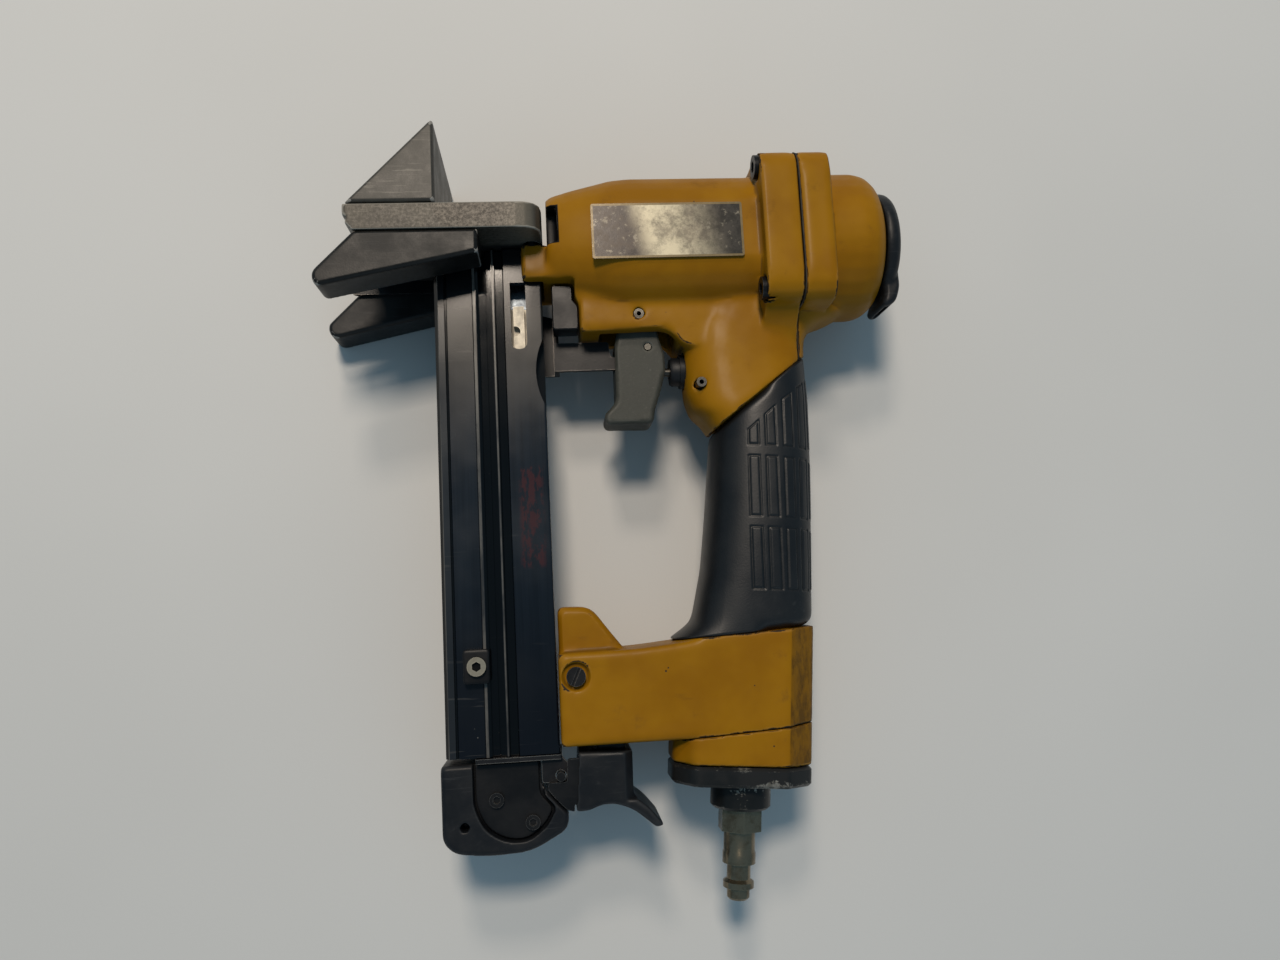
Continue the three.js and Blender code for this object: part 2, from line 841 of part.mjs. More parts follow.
// Contact arm: strip beside the magazine, cross tab, and the flat end inside the trigger.
function contactArm() {
  const strip = slab([
    [-108, 79, 2],
    [-66, 79, 4],
    [-40, 44, 2],
    [-28.4, 44],
    [-28.4, 66.8, 2],
    [-49, 72.8, 2],
    [-62, 86.8, 3],
    [-108, 86.8, 2],
  ], -14.3, -12.7);
  const tab = across(rectangle(44, 66.8, -14.3, -5, 0), -30.4, -28.4);
  const bridge = across(rectangle(44, 53.4, -13, 1.2, 0), -30.4, -28.4);
  const finger = slab([
    [-30.4, 42.6],
    [-3.6, 42.6, 1],
    [-3.6, 47, 1],
    [-9, 47.4, 1],
    [-9.6, 53.4, 1],
    [-30.4, 53.4],
  ], -1.2, 1.2);
  return join(strip, tab, bridge, finger);
}

// ---- magazine -----------------------------------------------------------------------------

function magazineRail() {
  const section = mirrored([
    [-37.8, CORE_HALF],
    [-72, CORE_HALF],
    [-72, 8.6],
    [-58, 8.6],
    [-58, 6.2],
    [-47, 6.2],
    [-47, 8.2],
    [-54.9, 8.2],
    [-54.9, 9.4],
    [-57.4, 9.4],
    [-57.4, 11.4],
    [-58.2, MAG_HALF],
    [-59.4, MAG_HALF],
    [-59.8, 11.2],
    [-68.9, 11.2],
    [-69.2, 10.5],
    [-69.8, 10.5],
    [-70, 11],
    [-72.2, 11],
    [MAG_LEFT, 9.4],
  ]);
  return upright(section, MAG_LOW, MAG_HIGH);
}

function magazineChannel() {
  const section = mirrored([
    [-36, 3.4],
    [-40, 3.4],
    [-40, 8.6],
    [-54.3, 8.6],
    [-54.3, 9.6],
    [-52.7, 9.6],
    [-52.5, MAG_HALF],
    [-51.3, MAG_HALF],
    [-51.1, 9.8],
    [-48.4, 9.8],
    [-47.9, MAG_HALF],
    [MAG_RIGHT, MAG_HALF, 0.8],
  ]);
  const window = slab([
    [-45.7, 74],
    [-45.7, 48.8, 2.8],
    [-40, 48.8, 2.8],
    [-40, 74],
  ], 2, 20);
  const relief = rod('z', [-9.3, 40, 0], 4, 20, 27.9, 96);
  return cut(upright(section, MAG_LOW, NOSE_LOW - 0.8), window, relief);
}

function stapleStrip() {
  const outer = block(LEG_END, CROWN_X, 66.6, NOSE_LOW - FIT, -CROWN_HALF, CROWN_HALF);
  const inner = CROWN_HALF - 0.8;
  return cut(outer, block(LEG_END - 1, CROWN_X - 1.1, 60, 90, -inner, inner));
}

function pusher() {
  const saddle = block(-71, CROWN_X, 48.6, 66.3, -3, 3);
  const tab = block(-44.8, -40.9, 48.6, 66, 0, 8.3);
  const seat = block(-68.5, -61.5, 48.6, 52, 0, 8.2);
  const gap = block(-80, -37.4, 40, 70, -1.95, 1.95);
  return cut(join(saddle, tab, seat), gap, rod('z', [-44.4, 56.5, 0], 5, 12, 2, 16));
}

function stopBlock() {
  const body = slab(rectangle(-66.4, -57.2, -70.9, -59, 1.2), 12.3, 15.4, 0.4);
  return cut(body, rod('z', [-61.6, -64.8, 0], 5, 30, 2.1, 16));
}

function stopScrew() {
  const centre = [-61.6, -64.8, 0];
  const shape = join(rod('z', centre, 12.4, 16.4, 1.8, 12), rod('z', centre, 15.7, 17.4, 3.3, 20));
  return cut(shape, hexagon('z', centre, 16, 18, 3));
}

// Plate that closes the magazine, with a lug bent down in front that carries the latch pin.
function endPlate() {
  const plate = upright(rectangle(-63.4, -33.4, -13, 13, 1), MAG_LOW - FIT - 1.6, MAG_LOW - FIT);
  const lug = slab([
    [-40.6, MAG_LOW - FIT - 0.6],
    [-40.6, -106.4, 1],
    [-31.4, -106.4, 2],
    [-31.4, -100, 1],
    [-33.8, MAG_LOW - FIT - 0.6],
  ], 9, 10.6);
  return cut(join(plate, lug), rod('z', [...LATCH_PIN, 0], 5, 20, 1.9, 16));
}

const GRIP_TOP = MAG_LOW - 2 * FIT - 1.6;
const moonScrews = [[-56.6, -111.2], [-44.3, -119.4]];

function endGrip() {
  const body = slab([
    [-75.6, GRIP_TOP, 1.5],
    [-75.5, -124.4, 4.5],
    [-71.4, -128.4, 3],
    [-60, -129.9, 6],
    [-45, -129.2, 5],
    [-32.4, -122.6, 2.5],
    [-31.6, -117, 2],
    [-37.6, -110.4, 2],
    [-41, -107.6, 2],
    [-41, GRIP_TOP, 0.5],
  ], -11, 11, 1);
  const pocket = slab([
    [-64.6, GRIP_TOP + 4],
    [-64.6, -113, 4],
    [-61, -121, 4],
    [-54, -125.4, 4],
    [-46, -125.8, 4],
    [-39.2, -120.8, 4],
    [-36, -115, 1.5],
    [-40.2, -110.4, 2],
    [-40.2, GRIP_TOP + 4],
  ], 7, 20);
  const hole = rod('z', [-67.7, -119.6, 0], 4, 20, 1.6, 12);
  const screws = moonScrews.map(([x, y]) => rod('z', [x, y, 0], 0, 20, 1.9, 12));
  return cut(body, pocket, hole, ...screws);
}

function halfMoonPlate() {
  const plate = slab([
    [-63.9, GRIP_TOP - 0.4, 1],
    [-63.9, -112.8, 4],
    [-60.4, -120.4, 4],
    [-53.8, -124.6, 4],
    [-46.2, -125, 4],
    [-40, -120.2, 4],
    [-37.2, -115.2, 1.5],
    [-41.6, -110, 2],
    [-41.6, GRIP_TOP - 0.4, 1],
  ], 7.3, 8.9);
  const holes = moonScrews.map(([x, y]) => rod('z', [x, y, 0], 0, 20, 1.9, 12));
  return cut(plate, ...holes);
}

function moonScrew(x, y) {
  const shape = join(rod('z', [x, y, 0], 1, 10, 1.5, 12), rod('z', [x, y, 0], 9.2, 10.6, 2.6, 16));
  return cut(shape, hexagon('z', [x, y, 0], 9.6, 12, 2.4));
}

// ---- bracket, latch and handle end --------------------------------------------------------

// Everything under the seam between the bracket and the handle end.
function belowSeam(shift) {
  const [bend, slope] = SEAM_BEND;
  const low = BRACKET_LOW + shift;
  const high = low + slope * (120 - bend);
  return slab([[-60, -200], [120, -200], [120, high], [bend, low], [-60, low]], -60, 60);
}

function magazineBracket() {
  const arm = slab([
    [-33.4, -62.2, 1.5],
    [-33.4, BRACKET_LOW, 1.5],
    [30, BRACKET_LOW],
    [30, -59.2],
    [14.5, -59.9, 2],
    [9, -60.6, 4],
    [-5, -61.8, 5],
  ], -RING_HALF, RING_HALF, 1.2);
  const hump = slab([
    [-33, -46, 2],
    [-33, -70],
    [-2.8, -70],
    [-11.8, -59, 5],
    [-21.2, -46.2, 4],
  ], -10, 10, 1.6);
  const collar = common(ringBlock(0, 5, 70), pastRim(0, -200));
  return cut(
    join(arm, hump, collar),
    ringBlock(RING_WALL, 0, 80),
    belowSeam(0),
    block(-26, -6, -100, -72, -8.6, 8.6),
    rod('z', [-27.4, -70.2, 0], -20, 20, 2.6, 16),
    rod('z', [-27.4, -70.2, 0], 15, 20, 5, 20),
    rod('z', [...LATCH_PIVOT, 0], -12.5, 12.5, 1.9, 16),
  );
}

function bracketScrew() {
  const centre = [-27.4, -70.2, 0];
  const shape = join(rod('z', centre, -16.5, 16, 2.3, 16), rod('z', centre, 15.3, 17.2, 3.4, 20));
  const slot = block(-4.1, 4.1, -0.5, 0.5, 16.3, 19).rotateZ(THREE.MathUtils.degToRad(65));
  return cut(shape, slot.translate(...centre));
}

// Lever hanging in the bracket on the latch pivot, with its thumb tail at the bottom right.
function latchLever() {
  const half = 14.3;
  const body = slab([
    [-27.7, -96.4],
    [-29.2, -116.3, 1],
    [-24.6, -116.2, 1.5],
    [-20.6, -114.6, 2],
    [-16, -114.4, 3],
    [-9.6, -116.6, 3],
    [-1.6, -123.4, 1],
    [1.2, -122.6, 1],
    [-4.4, -115.8, 4],
    [-9, -112.6, 4],
    [-8.6, -97],
  ], -half, half, 0.6);
  const stem = slab([
    [-21, -80, 3],
    [-21, -97],
    [-11, -97],
    [-11, -80, 3],
  ], -8.2, 8.2, 0.6);
  const shoulder = upright([[-6, 8.4], [-6, half + 1], [-12.6, half + 1]], -113.4, -90);
  return cut(
    join(body, stem),
    rod('z', [...LATCH_PIVOT, 0], -20, 20, 1.9, 16),
    block(-30.5, -22.1, -114.3, -98.1, 11.1, 13.5),
    shoulder,
    shoulder.clone().scale(1, 1, -1),
  );
}

// Hook plate set in a slot of the lever; its nose passes under the latch pin.
function latchHook() {
  return slab([
    [-38.3, -106.1, 0.6],
    [-38.7, -108.2, 1.5],
    [-36.2, -111.4, 2],
    [-32.2, -115.6, 1.5],
    [-29.8, -116.2, 0.5],
    [-29.6, -114],
    [-22.4, -114, 1],
    [-22.4, -98.4, 1],
    [-31.7, -98.4, 1],
    [-31.9, -106.1, 1],
  ], 11.4, 13.2);
}

function handleEnd() {
  return cut(
    common(ringBlock(0, 7.2, 40, 0.8), belowSeam(-FIT)),
    ringBlock(RING_WALL, 9.8, 60),
    onHandle(rod('y', [0, 0, 0], 0, 14, SPIGOT_R + 0.4)),
  );
}

function endCap() {
  return cut(
    join(ringBlock(0, 0, 6.9, 1), onHandle(rod('y', [0, 0, 0], 3, 11, SPIGOT_R))),
    onHandle(rod('y', [0, 0, 0], -1, 12, 8.4)),
  );
}

function inletBoss() {
  return onHandle(turned('y', [0, 0, 0], [
    [-9.2, 5.1],
    [-9.2, 10],
    [-8.2, 11],
    [-FIT, 11],
    [-FIT, 8.1],
    [8.6, 8.1],
    [8.6, 5.1],
    [-9.2, 5.1],
  ]));
}

function airPlug() {
  const nut = hexagon('y', [0, 0, 0], -17.2, -9.5, 14.3);
  const stem = turned('y', [0, 0, 0], [
    [-41.2, 0],
    [-41.2, 3.4],
    [-40.4, 4.1],
    [-37.6, 4.1],
    [-37, 5.6],
    [-35, 5.6],
    [-34, 4.3],
    [-29, 4.3],
    [-28.6, 6],
    [-25, 6],
    [-24.4, 5.7],
    [-17, 5.7],
    [-10, 6.6],
    [-9.5, 4.8],
    [-1, 4.8],
    [-1, 0],
  ]);
  return cut(join(onHandle(nut), onHandle(stem)), onHandle(rod('y', [0, 0, 0], -50, 5, 2.4, 16)));
}

// ---- assembly -----------------------------------------------------------------------------

place('main_housing', 'yellow', mainHousing());
place('rubber_grip', 'rubber', rubberGrip());
place('cylinder_cap', 'yellow', cylinderCap());
place('cap_gasket', 'seal', capGasket());
atFlangeScrews((y, z) => [y, z]).forEach(([y, z], i) => {
  place(`cap_screw_${i + 1}`, 'black', capScrew(y, z));
});
place('exhaust_deflector', 'plastic', exhaustDeflector());
place('label_plate', 'plate', slab(rectangle(-15.2, 40.2, 77.4, 97.9, 1), 25.7, 26.3));

place('cylinder_sleeve', 'steel', tube('x', [0, DRIVER_Y, 0], -8, 72.2, 19.3, 22.2, FINE));
place('piston', 'cast', piston());
place('piston_seal', 'seal', tube('x', [0, DRIVER_Y, 0], 61.9, 64.9, 16.1, 19.1, FINE));
place('driver_blade', 'steel', block(-34.6, 59, DRIVER_Y - 0.6, DRIVER_Y + 0.6, -2.6, 2.6));
place('piston_bumper', 'seal', tube('x', [0, DRIVER_Y, 0], -17.6, -8.4, 5, BUMPER_R, FINE));
place('head_valve', 'plastic', headValve());
place('head_valve_spring', 'steel', coil('x', [0, DRIVER_Y, 0], 77.4, 91.7, 13, 0.9, 3));

place('trigger', 'cast', trigger());
place('trigger_pivot_pin', 'steel', tube('z', [...PIVOT, 0], -13.6, 13.6, 0.9, 1.85, 16));
place('trip_lever', 'steel', tripLever());
place('trip_lever_pin', 'steel', rod('z', [...LEVER_PIN, 0], -8, 8, 1.25, 16));
place('trigger_valve_body', 'black', valveBody());
place('valve_stem', 'steel', join(
  rod('x', [0, VALVE_Y, 0], 10.7, 31, 1.6, 16),
  rod('x', [0, VALVE_Y, 0], 34.4, 36, 4, 16),
  rod('x', [0, VALVE_Y, 0], 30, 35, 1.6, 16),
));
place('valve_pin', 'steel', tube('z', [...VALVE_PIN, 0], -16, 16, 0.9, 1.85, 16));

place('nose_plate', 'steel', nosePlate());
place('subfloor_foot', 'black', subfloorFoot());
place('plank_foot_near', 'black', plankFoot(14.6, 1.4, 8.4, 15, SHOE_HALF));
place('plank_foot_far', 'black', plankFoot(20, 2.6, 11.6, -SHOE_HALF, -15));
upperScrews.forEach(([x, z], i) => {
  place(`subfloor_foot_screw_${i + 1}`, 'black', noseScrew(x, z, NOSE_LOW + 0.2, 110, 2.3));
});
lowerScrews.forEach(([x, z], i) => {
  place(`plank_foot_screw_${i + 1}`, 'black', noseScrew(x, z, NOSE_HIGH - 0.2, 80, 2.3));
});
ledgeScrewSpots.forEach(([x, z], i) => {
  place(`nose_screw_${i + 1}`, 'black', noseScrew(x, z, NOSE_HIGH - 0.2, 77, 1.6));
});
place('contact_arm', 'black', contactArm());
place('contact_spring', 'steel', coil('x', [0, 63.5, -8.5], -28.1, -14.5, 2, 0.4, 6));
place('arm_guide', 'black', slab([
  [-30.4, 55.8, 1],
  [-20.9, 55.8, 1],
  [-20.9, 64.6, 1],
  [-22.8, 67],
  [-22.8, 72.6, 2],
  [-30.4, 72.6, 1],
], 1.6, 12, 0.4));

place('magazine_channel', 'black', magazineChannel());
place('magazine_rail', 'black', magazineRail());
place('staple_strip', 'steel', stapleStrip());
place('pusher', 'steel', pusher());
place('pusher_spring', 'steel', coil('y', [-65, 0, 5.1], -96, 48.2, 2.5, 0.4, 12));
place('stop_block', 'black', stopBlock());
place('stop_screw', 'steel', stopScrew());
place('end_plate', 'steel', endPlate());
place('end_grip', 'plastic', endGrip());
place('half_moon_plate', 'black', halfMoonPlate());
moonScrews.forEach(([x, y], i) => {
  place(`half_moon_screw_${i + 1}`, 'black', moonScrew(x, y));
});
place('latch_pin', 'steel', rod('z', [...LATCH_PIN, 0], 8, 13.6, 1.6, 16));

place('magazine_bracket', 'yellow', magazineBracket());
place('bracket_screw', 'black', bracketScrew());
place('latch_lever', 'plastic', latchLever());
place('latch_hook', 'black', latchHook());
place('latch_pivot_pin', 'steel', rod('z', [...LATCH_PIVOT, 0], -12, 12, 1.6, 16));
place('latch_spring', 'steel', coil('x', [0, -88.5, 0], -10.7, -6.3, 2, 0.4, 3));
place('handle_end', 'yellow', handleEnd());
place('end_cap', 'black', endCap());
place('inlet_boss', 'black', inletBoss());
place('air_plug', 'steel', airPlug());

// The middle of the underside of the whole tool becomes the origin.
const bounds = new THREE.Box3().setFromObject(tool);
const middle = bounds.getCenter(new THREE.Vector3());
for (const mesh of tool.children) {
  mesh.geometry.translate(-middle.x, -middle.y, -bounds.min.z);
}

export default tool;
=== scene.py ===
import json
import math

import bmesh
import bpy
import numpy as np
from mathutils import Euler, Matrix, Vector
from mathutils.bvhtree import BVHTree

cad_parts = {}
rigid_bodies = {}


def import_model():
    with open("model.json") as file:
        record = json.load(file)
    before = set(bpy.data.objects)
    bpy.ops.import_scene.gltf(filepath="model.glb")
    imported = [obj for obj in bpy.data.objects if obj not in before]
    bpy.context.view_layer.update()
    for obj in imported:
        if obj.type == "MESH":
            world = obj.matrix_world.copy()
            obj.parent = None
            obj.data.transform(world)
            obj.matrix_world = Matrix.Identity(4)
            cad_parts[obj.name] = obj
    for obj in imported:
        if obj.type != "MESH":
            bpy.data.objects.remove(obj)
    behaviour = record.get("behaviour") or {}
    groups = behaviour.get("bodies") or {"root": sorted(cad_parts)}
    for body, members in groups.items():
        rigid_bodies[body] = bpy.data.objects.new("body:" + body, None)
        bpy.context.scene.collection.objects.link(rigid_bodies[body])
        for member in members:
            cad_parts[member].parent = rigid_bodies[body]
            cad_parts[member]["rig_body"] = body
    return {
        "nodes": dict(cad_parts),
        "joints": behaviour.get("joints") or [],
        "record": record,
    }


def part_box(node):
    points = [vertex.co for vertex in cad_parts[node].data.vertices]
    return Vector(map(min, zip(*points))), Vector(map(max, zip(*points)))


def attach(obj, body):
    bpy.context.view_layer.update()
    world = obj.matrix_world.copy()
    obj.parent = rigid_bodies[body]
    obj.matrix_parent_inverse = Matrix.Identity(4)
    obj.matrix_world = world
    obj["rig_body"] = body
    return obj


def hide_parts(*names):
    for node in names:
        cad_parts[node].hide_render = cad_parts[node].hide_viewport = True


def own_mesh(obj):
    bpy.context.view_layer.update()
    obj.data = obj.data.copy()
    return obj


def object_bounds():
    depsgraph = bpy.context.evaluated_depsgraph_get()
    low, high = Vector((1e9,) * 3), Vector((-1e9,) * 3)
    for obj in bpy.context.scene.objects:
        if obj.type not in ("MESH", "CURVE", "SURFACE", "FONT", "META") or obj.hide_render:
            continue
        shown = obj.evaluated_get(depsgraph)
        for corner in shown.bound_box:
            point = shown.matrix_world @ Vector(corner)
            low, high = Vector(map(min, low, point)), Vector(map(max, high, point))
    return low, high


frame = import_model()
cad_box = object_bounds()

MM = 0.001                               # a length in millimetres times this is in metres
JOINTS = {joint["name"]: joint for joint in frame["joints"]}
NODES = frame["nodes"]
BODY_OF = {node: obj["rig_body"] for node, obj in NODES.items()}
SLOT_OF = {part["node"]: part["material_slot"] for part in frame["record"]["subparts"]}

# The trigger pivot is a known point of the tool's own axes, so it fixes where they are.
PIVOT = Vector((1.6, 60.6, 0)) * MM
ORIGIN = Vector(JOINTS["trigger_pull"]["pos_m"]) - PIVOT
HANDLE_FOOT = (31.1, -112)               # lower end of the handle's own line
LEAN = math.radians(5)                   # the handle's line leans this far from the tool's Y
WELD_GAP = 1e-6                          # points of a CAD node nearer than this are one
SHARP_ANGLE = math.radians(32)           # sides of a CAD node that meet at more stay sharp


def at(x, y, z):
    """Point of the tool's own axes, in millimetres, as a point of the frame in metres."""
    return ORIGIN + Vector((x, y, z)) * MM


# ---- camera and light ---------------------------------------------------------------------------

CAMERA_DISTANCE = 0.362                  # along the view, from the origin of the tool's own axes
CAMERA_TURN = (7.36, -4.725, -2.975)     # degrees about the frame's X, Y and Z from straight down
FOCAL_MM, SENSOR_MM = 27, 36
CLIP_NEAR, CLIP_FAR = 0.01, 20
WORLD_COLOUR, WORLD_STRENGTH = (0.48, 0.77, 1.0, 1), 0.31
LAMP_TARGET = (0, 0, 0.03)
WARM, COOL = (1.0, 0.86, 0.72), (0.88, 0.94, 1.0)


def add_camera():
    data = bpy.data.cameras.new("camera")
    data.lens = FOCAL_MM
    data.sensor_width = SENSOR_MM
    data.clip_start = CLIP_NEAR
    data.clip_end = CLIP_FAR
    camera = bpy.data.objects.new("camera", data)
    bpy.context.scene.collection.objects.link(camera)
    turn = Euler([math.radians(angle) for angle in CAMERA_TURN]).to_matrix()
    back = turn @ Vector((0, 0, 1))
    camera.matrix_world = Matrix.Translation(ORIGIN + back * CAMERA_DISTANCE) @ turn.to_4x4()
    bpy.context.scene.camera = camera


def add_lamp(name, place, size, power, colour):
    data = bpy.data.lights.new(name, "AREA")
    data.shape = "RECTANGLE"
    data.size, data.size_y = size
    data.energy = power
    data.color = colour
    lamp = bpy.data.objects.new(name, data)
    bpy.context.scene.collection.objects.link(lamp)
    lamp.location = place
    towards = Vector(LAMP_TARGET) - Vector(place)
    lamp.rotation_euler = towards.to_track_quat("-Z", "Y").to_euler()


def add_light():
    """Warm soft light from above the tool's top, on a blue-grey fill from all round."""
    world = bpy.data.worlds.new("studio")
    bpy.context.scene.world = world
    world.use_nodes = True
    background = world.node_tree.nodes["Background"]
    background.inputs["Color"].default_value = WORLD_COLOUR
    background.inputs["Strength"].default_value = WORLD_STRENGTH
    add_lamp("key", place=(-0.14, 0.74, 1.5), size=(0.36, 0.26), power=15.8, colour=WARM)
    add_lamp("second", place=(-0.25, 1.5, 1.6), size=(0.32, 0.26), power=10.3, colour=WARM)
    add_lamp("low", place=(0.25, -0.95, 0.6), size=(1.0, 0.4), power=0.6, colour=COOL)


# ---- material nodes -----------------------------------------------------------------------------

DEFAULT_SPECULAR = 0.25
BEVEL_SAMPLES = 4


class Shade:
    """A material under construction, with short calls for the nodes it is made of."""

    def __init__(self, name):
        self.material = bpy.data.materials.new(name)
        self.material.use_nodes = True
        self.tree = self.material.node_tree
        self.tree.nodes.clear()
        self.shader = self.tree.nodes.new("ShaderNodeBsdfPrincipled")
        out = self.tree.nodes.new("ShaderNodeOutputMaterial")
        self.join(self.shader.outputs["BSDF"], out.inputs["Surface"])
        self.coordinates = self.tree.nodes.new("ShaderNodeTexCoord").outputs["Object"]
        self.shader.inputs["Specular IOR Level"].default_value = DEFAULT_SPECULAR

    def join(self, source, target):
        self.tree.links.new(source, target)

    def feed(self, socket, value):
        """Sets an input to a number or colour, or links another node's output to it."""
        if isinstance(value, bpy.types.NodeSocket):
            self.join(value, socket)
        elif isinstance(value, tuple) and len(value) == 3 and socket.type == "RGBA":
            socket.default_value = (*value, 1)
        else:
            socket.default_value = value

    def set(self, **inputs):
        for name, value in inputs.items():
            self.feed(self.shader.inputs[name.replace("_", " ")], value)
        return self

    def stretched(self, x, y, z):
        node = self.tree.nodes.new("ShaderNodeMapping")
        self.join(self.coordinates, node.inputs["Vector"])
        node.inputs["Scale"].default_value = (x, y, z)
        return node.outputs["Vector"]

    def noise(self, scale, detail=4.0, rough=0.55, vector=None, distortion=0.0):
        node = self.tree.nodes.new("ShaderNodeTexNoise")
        self.join(vector or self.coordinates, node.inputs["Vector"])
        node.inputs["Scale"].default_value = scale
        node.inputs["Detail"].default_value = detail
        node.inputs["Roughness"].default_value = rough
        node.inputs["Distortion"].default_value = distortion
        return node.outputs["Fac"]

    def cells(self, scale):
        """Distance to the nearest of many scattered points."""
        node = self.tree.nodes.new("ShaderNodeTexVoronoi")
        self.join(self.coordinates, node.inputs["Vector"])
        node.inputs["Scale"].default_value = scale
        return node.outputs["Distance"]

    def attribute(self, name):
        node = self.tree.nodes.new("ShaderNodeAttribute")
        node.attribute_name = name
        return node.outputs["Fac"]

    def position(self):
        """The surface point's X, Y and Z in the frame at rest."""
        node = self.tree.nodes.new("ShaderNodeSeparateXYZ")
        self.join(self.coordinates, node.inputs["Vector"])
        return node.outputs

    def maths(self, operation, a, b):
        node = self.tree.nodes.new("ShaderNodeMath")
        node.operation = operation
        self.feed(node.inputs[0], a)
        self.feed(node.inputs[1], b)
        return node.outputs["Value"]

    def between(self, value, low, high, to_low=0.0, to_high=1.0):
        """Eases from to_low to to_high as value goes from low to high."""
        node = self.tree.nodes.new("ShaderNodeMapRange")
        node.clamp = True
        node.interpolation_type = "SMOOTHSTEP"
        self.feed(node.inputs["Value"], value)
        node.inputs["From Min"].default_value = low
        node.inputs["From Max"].default_value = high
        node.inputs["To Min"].default_value = to_low
        node.inputs["To Max"].default_value = to_high
        return node.outputs["Result"]

    def within(self, low, high, soft=0.0002):
        """1 inside the box from low to high, 0 outside, with soft sides. None leaves a side open."""
        share = 1.0
        for axis, bottom, top in zip(self.position(), low, high):
            if bottom is not None:
                rise = self.between(axis, bottom - soft, bottom + soft)
                share = self.maths("MULTIPLY", share, rise)
            if top is not None:
                fall = self.between(axis, top - soft, top + soft, 1, 0)
                share = self.maths("MULTIPLY", share, fall)
        return share

    def mix(self, share, a, b):
        node = self.tree.nodes.new("ShaderNodeMix")
        node.data_type = "RGBA"
        self.feed(node.inputs["Factor"], share)
        self.feed(node.inputs["A"], a)
        self.feed(node.inputs["B"], b)
        return node.outputs["Result"]

    def bump(self, height, depth, strength):
        node = self.tree.nodes.new("ShaderNodeBump")
        node.inputs["Distance"].default_value = depth
        node.inputs["Strength"].default_value = strength
        self.feed(node.inputs["Height"], height)
        return node.outputs["Normal"]

    def edges(self, radius, low=0.02, high=0.2):
        """Where the surface turns sharply: 0 on flat stretches, 1 at an edge."""
        rounded = self.tree.nodes.new("ShaderNodeBevel")
        rounded.samples = BEVEL_SAMPLES
        rounded.inputs["Radius"].default_value = radius
        flat = self.tree.nodes.new("ShaderNodeNewGeometry")
        dot = self.tree.nodes.new("ShaderNodeVectorMath")
        dot.operation = "DOT_PRODUCT"
        self.join(rounded.outputs["Normal"], dot.inputs[0])
        self.join(flat.outputs["Normal"], dot.inputs[1])
        turned = self.maths("SUBTRACT", 1.0, dot.outputs["Value"])
        return self.between(turned, low, high)

    def wear(self, edge, scale, amount):
        """Edge mask broken up by noise; amount from 0 to 1 says how much of the edge has gone."""
        broken = self.maths("MULTIPLY", self.noise(scale, 5, 0.65), 0.6)
        height = self.maths("ADD", self.maths("MULTIPLY", edge, 0.8), broken)
        gone_above = 1.2 - 0.35 * amount
        return self.between(height, gone_above - 0.08, gone_above)

    def scratches(self, angle, scale, width):
        """Fine straight lines at an angle, in radians, in the tool's middle plane."""
        node = self.tree.nodes.new("ShaderNodeMapping")
        self.join(self.coordinates, node.inputs["Vector"])
        node.inputs["Rotation"].default_value = (0, 0, angle)
        node.inputs["Scale"].default_value = (1, 22, 6)
        lines = self.noise(scale, 2, 0.5, node.outputs["Vector"], 0.4)
        return self.between(lines, 0.66 - width, 0.7)


RING_FACET = 45.4                        # X of the facet's left side at the handle's foot
RING_LOW, RING_HIGH = -105.6, -56.6      # Y of both ends of the handle's lower ring


def ring_facet(s):
    """1 on the facet at the right of the handle's lower ring, which leans with the handle."""
    x, y, _ = s.position()
    slope = math.tan(LEAN)
    side = s.maths("SUBTRACT", x, s.maths("MULTIPLY", y, slope))
    edge = at(RING_FACET - HANDLE_FOOT[1] * slope, 0, 0)
    start = edge.x - edge.y * slope
    right_of_edge = s.between(side, start - 0.0003, start + 0.0003)
    return s.maths("MULTIPLY", right_of_edge, s.within(at(0, RING_LOW, -40), at(70, RING_HIGH, 40)))


